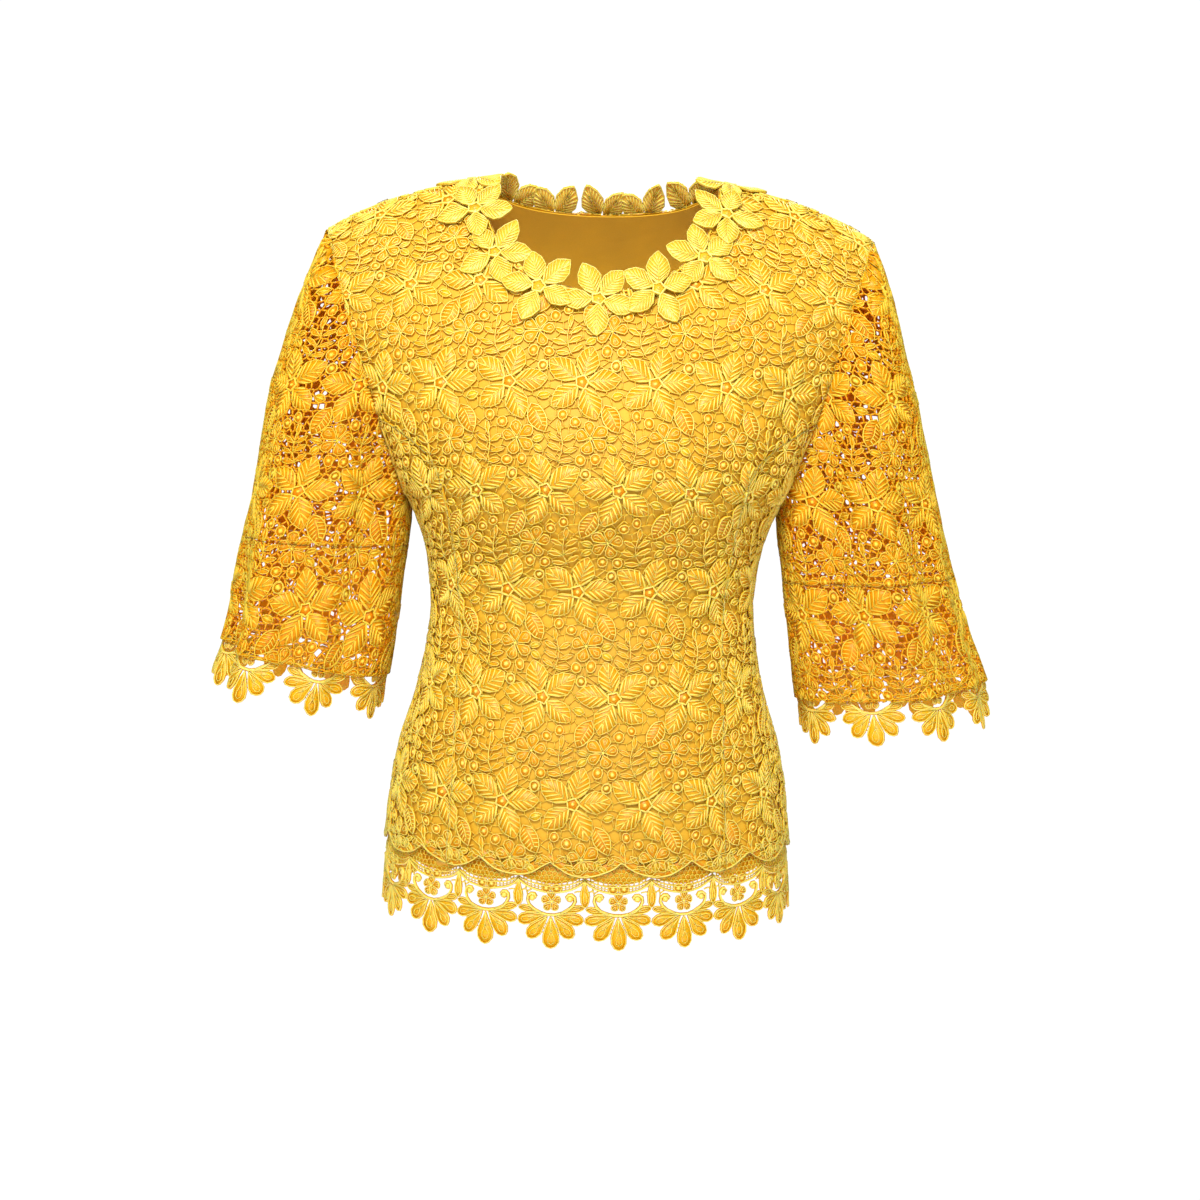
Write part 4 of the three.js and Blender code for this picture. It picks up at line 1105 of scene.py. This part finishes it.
class Finish:
    """A material whose nodes are added by one method."""

    def __init__(self, name):
        self.material = bpy.data.materials.new(name)
        self.material.use_nodes = True
        self.tree = self.material.node_tree
        self.shader = self.tree.nodes["Principled BSDF"]

    def node(self, kind, settings=None, *values, out=0, **sockets):
        """Adds a node: settings first, then its sockets by order or by name; gives one output."""
        node = self.tree.nodes.new(kind)
        for key, value in (settings or {}).items():
            if key == "stops":
                stops = node.color_ramp.elements
                while len(stops) < len(value):
                    stops.new(0.5)
                for stop, (at, colour) in zip(stops, value):
                    stop.position, stop.color = at, (*colour, 1)
            else:
                setattr(node, key, value)
        named = {**dict(enumerate(values)), **sockets}
        for key, value in named.items():
            self.plug(node.inputs[key.replace("_", " ") if isinstance(key, str) else key], value)
        return Value(self, node.outputs[out])

    def plug(self, socket, value):
        """Sets or links a socket."""
        if isinstance(value, Value):
            self.tree.links.new(value.socket, socket)
        else:
            socket.default_value = value

    def chart(self):
        """The piece's own flat chart, in metres."""
        return self.node("ShaderNodeUVMap", {"uv_map": "cloth"})

    def constants(self, **values):
        """Sets the shader's own sockets."""
        for key, value in values.items():
            self.shader.inputs[key.replace("_", " ")].default_value = value

    def looks(self, colour, rough):
        """What varies over the surface."""
        self.plug(self.shader.inputs["Base Color"], colour)
        self.plug(self.shader.inputs["Roughness"], rough)

    def ramp(self, shade, *stops):
        """Colours along a value."""
        return self.node("ShaderNodeValToRGB", {"stops": stops}, shade)

    def bump(self, height, distance, strength):
        """A Bump node that feeds the normal."""
        normal = self.node("ShaderNodeBump", None, Height=height, Distance=distance,
                           Strength=strength)
        self.plug(self.shader.inputs["Normal"], normal)


def lace_finish(name, deep, body, light, shine):
    """Mercerised cotton lace with fine threads: painted shade in its slots and at the feet of its
    cords, its flat colour between, painted highlight on the cords' tops.
    """
    finish = Finish(name)
    chart = finish.chart()
    tone = finish.node("ShaderNodeAttribute", {"attribute_name": "tone"}, out=2)
    patch = finish.node("ShaderNodeTexNoise", None, Vector=chart, Scale=45.0, Detail=2.0)
    thread = finish.node("ShaderNodeTexNoise", None, Vector=chart, Scale=1500.0, Detail=2.0)
    shade = tone + (patch - 0.5) * 0.25 + (thread - 0.5) * 0.3
    # The tone runs the colour from painted shade (deep) through the flat lace (body) to painted
    # highlight (light).
    finish.looks(finish.ramp(shade, (0.1, deep), (0.52, body), (0.95, light)),
                 0.32 + thread * 0.16)
    finish.bump(thread, 0.0003, 0.5)
    finish.constants(Sheen_Weight=0.02, Sheen_Roughness=0.45, Specular_IOR_Level=shine,
                     Subsurface_Weight=0.35, Subsurface_Scale=0.0025)
    finish.shader.inputs["Subsurface Radius"].default_value = (1.0, 0.45, 0.08)
    finish.shader.inputs["Sheen Tint"].default_value = (1.0, 0.85, 0.45, 1)
    return finish.material


def lining_finish(colours):
    """Plain satin: long floats with a fine rib, and slow changes of colour."""
    finish = Finish("lining_satin")
    chart = finish.chart()
    weft = finish.node("ShaderNodeTexWave", {"bands_direction": "Y"}, out=1, Vector=chart,
                       Scale=320.0, Distortion=1.5, Detail=1.0, Detail_Scale=4.0)
    slow = finish.node("ShaderNodeTexNoise", None, Vector=chart, Scale=18.0, Detail=3.0)
    shade = slow * 0.8 + finish.node("ShaderNodeTexNoise", None, Vector=chart, Scale=900.0) * 0.3
    deep = tuple(c * 0.78 for c in colours.lining)
    finish.looks(finish.ramp(shade, (0.3, deep), (0.75, colours.lining)), 0.42 + slow * 0.2)
    finish.bump(weft, 0.00015, 0.5)
    finish.constants(Sheen_Weight=0.08, Sheen_Roughness=0.4, Specular_IOR_Level=0.3)
    return finish.material


FINISHES = {}
LACE_FINISHES = (   # slot, material, the colours of painted shade in slots, of flat lace and of painted highlight on cords, and gloss
    ("lace", "body_lace", "deep", "body", "light", 0.55),
    ("sleeve_lace", "sleeve_lace", "sleeve_deep", "sleeve_body", "sleeve_light", 0.3),
    ("edging", "edging_lace", "deep", "body", "light", 0.6),
    ("trim", "trim_satin", "trim_painted_shade", "trim_lit_body", "light", 0.7),
)


def finishes():
    """The materials by slot, made once."""
    if not FINISHES:
        colours = bpy.context.scene.blouse_colours
        for slot, name, *shades, shine in LACE_FINISHES:
            FINISHES[slot] = lace_finish(name, *(getattr(colours, key) for key in shades), shine)
        FINISHES["lining"] = lining_finish(colours)
    return FINISHES


# ---- Pieces ----

def seam_cords(panel, drawing):
    """Cords along a panel's left and right edges, 0.6 mm in."""
    ways = panel.ways(8.0)
    ways = ways[panel.right(ways) - panel.left(ways) > 4]
    for edge, inwards in ((panel.left, 1), (panel.right, -1)):
        path = edge(ways) + inwards * 0.6 - 1j * ways
        if panel.neck:
            path = path[neck_size(path.real, ways, panel.neck, 2) > 1]
        drawing.cord(path, high=0.5, **SEAM_CORD)


def scallop_border(panel, lace):
    """The scalloped foot of a body panel: corded, with a netted band, buds and a sprig in each."""
    across, rise = SCALLOP["across"], SCALLOP["rise"]
    v = np.array([DOWN["hem"] - 1])
    left, right = float(panel.left(v)[0]) + 0.8, float(panel.right(v)[0]) - 0.8
    u = np.linspace(left, right, max(int((right - left) / 2.7), 4))
    lace.cording.cord(u - 1j * (scallops(u) - 1.0), 1.9, CORD_TOP + 0.3, base=-0.1, low=0.4,
                      fine=True)
    band = np.concatenate([u - 1j * (scallops(u) - 0.6), (u - 1j * (scallops(u) - 7.5))[::-1]])
    lace.plate(band, tone=0.12, thick=0.45)
    lace.cording.cord(u - 1j * (scallops(u) - 4.2), 0.8, 0.95, base=0.2, low=0.3, high=0.6,
                      fine=True)
    for k in range(math.floor(left / across), math.ceil(right / across) + 1):
        def at(x, up, middle=k * across):
            return complex(middle + x, up - DOWN["hem"])
        for x, up in ((-1.5, 8.6), (8.6, 9.4)):
            lace.edged(circle(at(x, up), 3.4, 8, 1.2), 0.5, 1.2, CORD_TOP, 0.3)
            lace.cording.stitch(at(x, up - 3), at(x, up + 3), 1.3, CORD_TOP)
        for x0, y0, x1, y1 in ((-7, 6.2, -15.6, 8.6), (-14, 11, -21, 17), (16, 9.6, 21.6, 14.6)):
            outline = at(x0, y0) + (at(x1, y1) - at(x0, y0)) * leaf(1, 0.42, 1.2, 4, 0.8)
            lace.edged(outline, 0.35, 1.1, CORD_TOP, 0.3)
        lace.cording.cord([at(-19, 22), at(-13, 15), at(-9.4, 8), at(-8, 3.4)], 1.1, CORD_TOP - 0.2,
                          base=0.1)


def tiles(start, end, anchor, size, room):
    """The numbers of the repeats that reach a stretch, counted from an anchor."""
    return range(math.floor((start - anchor - room[0]) / size),
                 math.ceil((end - anchor + room[1]) / size) + 1)


def lace_pieces(panels, settings, template, slot):
    """Lays the repeat on each panel: its ground as a sheet, with the cording on it."""
    wide, high = settings.across, 2 * settings.row
    for name, (panel, anchor) in panels.items():
        v = panel.cloth.v
        v = v[(v >= panel.top) & (v <= panel.end)]
        left, right = float(panel.left(v).min()), float(panel.right(v).max())
        offsets = [(anchor[0] + i * wide, -(anchor[1] + j * high), 0)
                   for i in tiles(left, right, anchor[0], wide, BESIDE_REPEAT)
                   for j in tiles(v[0], v[-1], anchor[1], high, OVER_REPEAT)]
        edges = Lace()
        if slot == "lace":
            scallop_border(panel, edges)
        seam_cords(panel, edges.cording)
        if slot != "lace":
            line = np.arange(float(panel.left(v[-1])) + 1, float(panel.right(v[-1])) - 1, 4.0)
            edges.cording.cord(line - 1j * (v[-1] - 1.2), high=0.55, **SEAM_CORD)
        if panel.neck:
            line = neck_line(np.linspace(0.02, np.pi - 0.02, 120), NECK["half"] + 1.2,
                             panel.neck + 1.2)
            edges.cording.cord(line, 1.8, CORD_TOP, base=0, low=0.3, high=0.7, fine=True)
        sheet, cords = (
            cloth_mesh(f"{name}_{layer}", panel.cloth, moved_out(cut_out(panel, joined(
                [repeat(drawn, offsets), getattr(edges, layer).finish()])), LACE_OUT), slot)
            for layer, drawn in zip(("ground", "cording"), template))
        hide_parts(name)
        width, length, area = panel.cut()


# ---- Settings ----

def number(name, description, default, **more):
    """A number that can be set."""
    return FloatProperty(name=name, description=description, default=default, **more)


def colour(name, description, *default):
    """A colour that can be set."""
    return FloatVectorProperty(name=name, description=description, subtype="COLOR",
                               default=default)


class BLOUSE_PG_lace(bpy.types.PropertyGroup):
    """Sizes of the lace repeat."""
    across: number("Repeat", "Width of the repeat, mm", 54.0)
    row: number("Row", "Height between two rows of flowers, mm", 81.0)
    shift: number("Shift", "Sideways shift of each second row, mm", 25.0)
    bar: number("Bar", "Width of the connecting bars, mm", 0.9)
    sleeve_bar: number("Sleeve bar", "Width of the sleeves' bars, mm", 1.9)
    seed: IntProperty(name="Seed", description="Seed of the bars' irregular places", default=7)


class BLOUSE_PG_colours(bpy.types.PropertyGroup):
    """Colours of the lace, with its painted shade and painted highlight, and of the lining."""
    # deep is painted shade in slots and at the feet of cords; light is painted highlight on the
    # cords' tops.
    deep: colour("Deep", "Lace in its slots", 0.75, 0.27, 0.0006)
    body: colour("Body", "Flat lace", 0.82, 0.48, 0.004)
    light: colour("Light", "Raised cords", 0.93, 0.71, 0.15)
    # The sleeves' colours are a darker, more orange copy of the body's: painted shade over the
    # unlined sleeves, with painted shade in slots and painted highlight on cords.
    sleeve_deep: colour("Sleeve deep", "Sleeve lace in its slots", 0.74, 0.24, 0.0003)
    sleeve_body: colour("Sleeve body", "Flat sleeve lace", 0.77, 0.4, 0.002)
    sleeve_light: colour("Sleeve light", "Raised cords on the sleeves", 0.9, 0.62, 0.07)
    # The neck flowers' colours are a paler copy of the body's: painted light, with painted shade in
    # their slots.
    trim_painted_shade: colour("Trim deep", "Neck flowers in their slots", 0.76, 0.44, 0.016)
    trim_lit_body: colour("Trim body", "Flat parts of the neck flowers", 0.83, 0.56, 0.05)
    lining: colour("Lining", "Satin lining", 0.76, 0.42, 0.02)


class BLOUSE_PG_stage(bpy.types.PropertyGroup):
    """Camera and light."""
    distance: number("Distance", "Camera distance", 1.5, subtype="DISTANCE")
    height: number("Height", "Camera height", -0.165, subtype="DISTANCE")
    aside: number("Aside", "Camera's place to the right", 0.0063, subtype="DISTANCE")
    lens: number("Lens", "Focal length, mm", 56.2)
    dip: number("Dip", "Downward tilt", math.radians(6.1), subtype="ANGLE")
    roll: number("Roll", "Camera roll", math.radians(1.3), subtype="ANGLE")


LIGHTS = (   # name, place, side in metres, watts
    ("key", (-0.15, -1.25, 0.75), 0.4, 25.0),
    ("fill", (0.2, -2.1, 0.0), 1.2, 9.0),
    ("back", (0.0, 1.9, 1.0), 1.4, 46.0),
)
SURROUND = {"light": 0.72, "seen": 1.05}
FLOOR = {"radius": 1.3, "level": -1.25}


class Step:
    """What the operators share."""
    bl_options = {"REGISTER", "UNDO"}


class BLOUSE_OT_lining(Step, bpy.types.Operator):
    """Cuts the front and back lining and gives them a wall"""
    bl_idname = "blouse.lining"
    bl_label = "Lining"

    def execute(self, context):
        for name in ("lining_front", "lining_back"):
            panel = BODY_PANELS[name]
            piece = backing_mesh(f"{name}_satin", panel, "lining")
            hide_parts(name)
            width, length, area = panel.cut()
        return {"FINISHED"}


class BLOUSE_OT_body_lace(Step, bpy.types.Operator):
    """Lays the lace on the front, the side panels and the back"""
    bl_idname = "blouse.body_lace"
    bl_label = "Body lace"

    def execute(self, context):
        settings = context.scene.blouse_lace
        down = float(np.interp(BODY_FLOWER["drop"], BODY["drop"](FRONT.v), FRONT.v))
        panels = {name: (BODY_PANELS[name], (BODY_FLOWER["front"], down)) for name in
                  ("front_centre", "front_side_right", "front_side_left")}
        panels["back"] = (BODY_PANELS["back"],
                          (BODY_FLOWER["back"], down - BODY_FLOWER["back_higher"]))
        lace_pieces(panels, settings, supercell(settings, (6, 22), settings.bar, (0.45, 0.8)),
                    "lace")
        return {"FINISHED"}


class BLOUSE_OT_sleeve_lace(Step, bpy.types.Operator):
    """Lays the lace on the open sleeves"""
    bl_idname = "blouse.sleeve_lace"
    bl_label = "Sleeve lace"

    def execute(self, context):
        settings = context.scene.blouse_lace
        panels = {name: (panel, (SLEEVES[name.split("_")[-1]]["flower"], SLEEVE_FLOWER_DROP))
                  for name, panel in SLEEVE_PANELS.items()}
        # The sleeves' bars take the lowest tones, painted shade in the open sleeves.
        drawn = supercell(settings, (9, 30), settings.sleeve_bar, (0.0, 0.4))
        lace_pieces(panels, settings, drawn, "sleeve_lace")
        return {"FINISHED"}


class BLOUSE_OT_hem_edging(Step, bpy.types.Operator):
    """Hangs the fans round the hem"""
    bl_idname = "blouse.hem_edging"
    bl_label = "Hem edging"

    def execute(self, context):
        count = round(HEM_RING.ring / HEM_FAN["across"] / 2) * 2
        pitch = HEM_RING.ring / count
        offsets = [((k + 0.5 - count / 2) * pitch, -DOWN["hem"], 0) for k in range(count)]
        lay_edging("hem_edging", HEM_RING, hem_fan(pitch), offsets, EDGING_OUT, "edging",
                   (HEM_RING.ring * MM, HEM_FAN["cut"]))
        return {"FINISHED"}


class BLOUSE_OT_cuff_edgings(Step, bpy.types.Operator):
    """Hangs the fans round the cuffs"""
    bl_idname = "blouse.cuff_edgings"
    bl_label = "Cuff edgings"

    def execute(self, context):
        for name, sleeve in SLEEVES.items():
            cuff = sleeve["cuff"]
            cloth = Cloth(sleeve_point(name), cuff - ABOVE_CUFF, cuff + BELOW_CUFF_FANS, EVEN_WAYS,
                          cuff)
            pitch = cloth.ring / CUFF_FAN["count"]
            offsets = [(float(cloth.first[0]) + (k + 0.5) * pitch, -cuff, 0)
                       for k in range(CUFF_FAN["count"])]
            lace = Lace()
            fan(lace, rise=HEM_FAN["foot"] - CUFF_FAN["foot"] - 1)
            lay_edging(f"cuff_edging_{name}", cloth, lace, offsets, EDGING_OUT, "edging",
                       (cloth.ring * MM, CUFF_FAN["cut"]))
        return {"FINISHED"}


class BLOUSE_OT_neck_trim(Step, bpy.types.Operator):
    """Sews the large flowers round the neck"""
    bl_idname = "blouse.neck_trim"
    bl_label = "Neck trim"

    def execute(self, context):
        for name, cloth, spacings in (("front", FRONT, 8), ("back", BACK, 6)):
            lace, under, length = trim_flowers(NECK[name], spacings, ends=name == "front")
            lay_edging(f"neck_trim_{name}", cloth, lace, [(0, 0, 0)], TRIM_OUT, "trim",
                       (length * MM + TRIM["cut"], TRIM["cut"]), curl=NECK[name], under=under)
        return {"FINISHED"}


class BLOUSE_OT_stage(Step, bpy.types.Operator):
    """Sets the floor, the lights and the camera"""
    bl_idname = "blouse.stage"
    bl_label = "Stage"

    def execute(self, context):
        stage = context.scene.blouse_stage
        self.floor()
        for lamp in LIGHTS:
            self.light(*lamp)
        context.scene.world = self.surround(**SURROUND)
        context.scene.view_settings.view_transform = "Standard"
        data = bpy.data.cameras.new("camera")
        data.lens, data.sensor_width = stage.lens, 36.0
        camera = shown("camera", data)
        turn = (Matrix.Rotation(math.pi / 2 - stage.dip, 4, "X")
                @ Matrix.Rotation(stage.roll, 4, "Z"))
        camera.matrix_world = (Matrix.Translation((stage.aside, -stage.distance, stage.height))
                               @ turn)
        context.scene.camera = camera
        return {"FINISHED"}

    @staticmethod
    def surround(light, seen):
        """A surround that lights softly, is seen plain white and isn't mirrored in gloss."""
        world = bpy.data.worlds.new("studio")
        world.use_nodes = True
        nodes, links = world.node_tree.nodes, world.node_tree.links
        back = nodes["Background"]
        back.inputs["Color"].default_value = (1.0, 1.0, 1.0, 1)
        rays, level = nodes.new("ShaderNodeLightPath"), light
        for ray, change in (("Is Camera Ray", seen - light), ("Is Glossy Ray", -light)):
            step = nodes.new("ShaderNodeMath")
            step.operation = "MULTIPLY_ADD"
            links.new(rays.outputs[ray], step.inputs[0])
            step.inputs[1].default_value = change
            if isinstance(level, float):
                step.inputs[2].default_value = level
            else:
                links.new(level, step.inputs[2])
            level = step.outputs[0]
        links.new(level, back.inputs["Strength"])
        return world

    @staticmethod
    def floor():
        """A pale round floor below the blouse."""
        bm = bmesh.new()
        bmesh.ops.create_circle(bm, cap_ends=True, segments=96, radius=FLOOR["radius"],
                                matrix=Matrix.Translation((0, 0, FLOOR["level"])))
        mesh = bpy.data.meshes.new("floor")
        bm.to_mesh(mesh)
        bm.free()
        paint = Finish("floor_paint")
        place = paint.node("ShaderNodeTexCoord", None, out=3)
        grain = paint.node("ShaderNodeTexNoise", None, Vector=place, Scale=3.0)
        paint.looks(paint.ramp(grain, (0.0, (0.86,) * 3), (1.0, (0.92,) * 3)), 0.9)
        paint.constants(Emission_Color=(1, 1, 1, 1), Emission_Strength=0.25)
        mesh.materials.append(paint.material)
        return shown("floor", mesh)

    @staticmethod
    def light(name, place, size, power):
        """A soft square light aimed at the blouse."""
        data = bpy.data.lights.new(name, "AREA")
        data.energy, data.size = power, size
        lamp = shown(name, data)
        lamp.location = place
        aim = Vector((0, 0, -0.3)) - Vector(place)
        lamp.rotation_euler = aim.to_track_quat("-Z", "Y").to_euler()


class BLOUSE_PT_panel(bpy.types.Panel):
    """Lists the steps of sewing the blouse"""
    bl_label = "Lace Blouse"
    bl_space_type = "VIEW_3D"
    bl_region_type = "UI"
    bl_category = "Blouse"

    def draw(self, context):
        scene = context.scene
        for group in (scene.blouse_lace, scene.blouse_colours, scene.blouse_stage):
            for key in group.__annotations__:
                self.layout.prop(group, key)
        for step in STEPS:
            self.layout.operator(step.bl_idname)


STEPS = (BLOUSE_OT_lining, BLOUSE_OT_body_lace, BLOUSE_OT_sleeve_lace, BLOUSE_OT_hem_edging,
         BLOUSE_OT_cuff_edgings, BLOUSE_OT_neck_trim, BLOUSE_OT_stage)
GROUPS = {"blouse_lace": BLOUSE_PG_lace, "blouse_colours": BLOUSE_PG_colours,
          "blouse_stage": BLOUSE_PG_stage}


def register():
    for kind in (*GROUPS.values(), *STEPS, BLOUSE_PT_panel):
        bpy.utils.register_class(kind)
    for name, group in GROUPS.items():
        setattr(bpy.types.Scene, name, PointerProperty(type=group))


def unregister():
    for name in GROUPS:
        delattr(bpy.types.Scene, name)
    for kind in reversed((*GROUPS.values(), *STEPS, BLOUSE_PT_panel)):
        bpy.utils.unregister_class(kind)


def main():
    """Sews the blouse."""
    register()
    for step in STEPS:
        group, name = step.bl_idname.split(".")
        getattr(getattr(bpy.ops, group), name)()


if __name__ == "__main__":
    main()
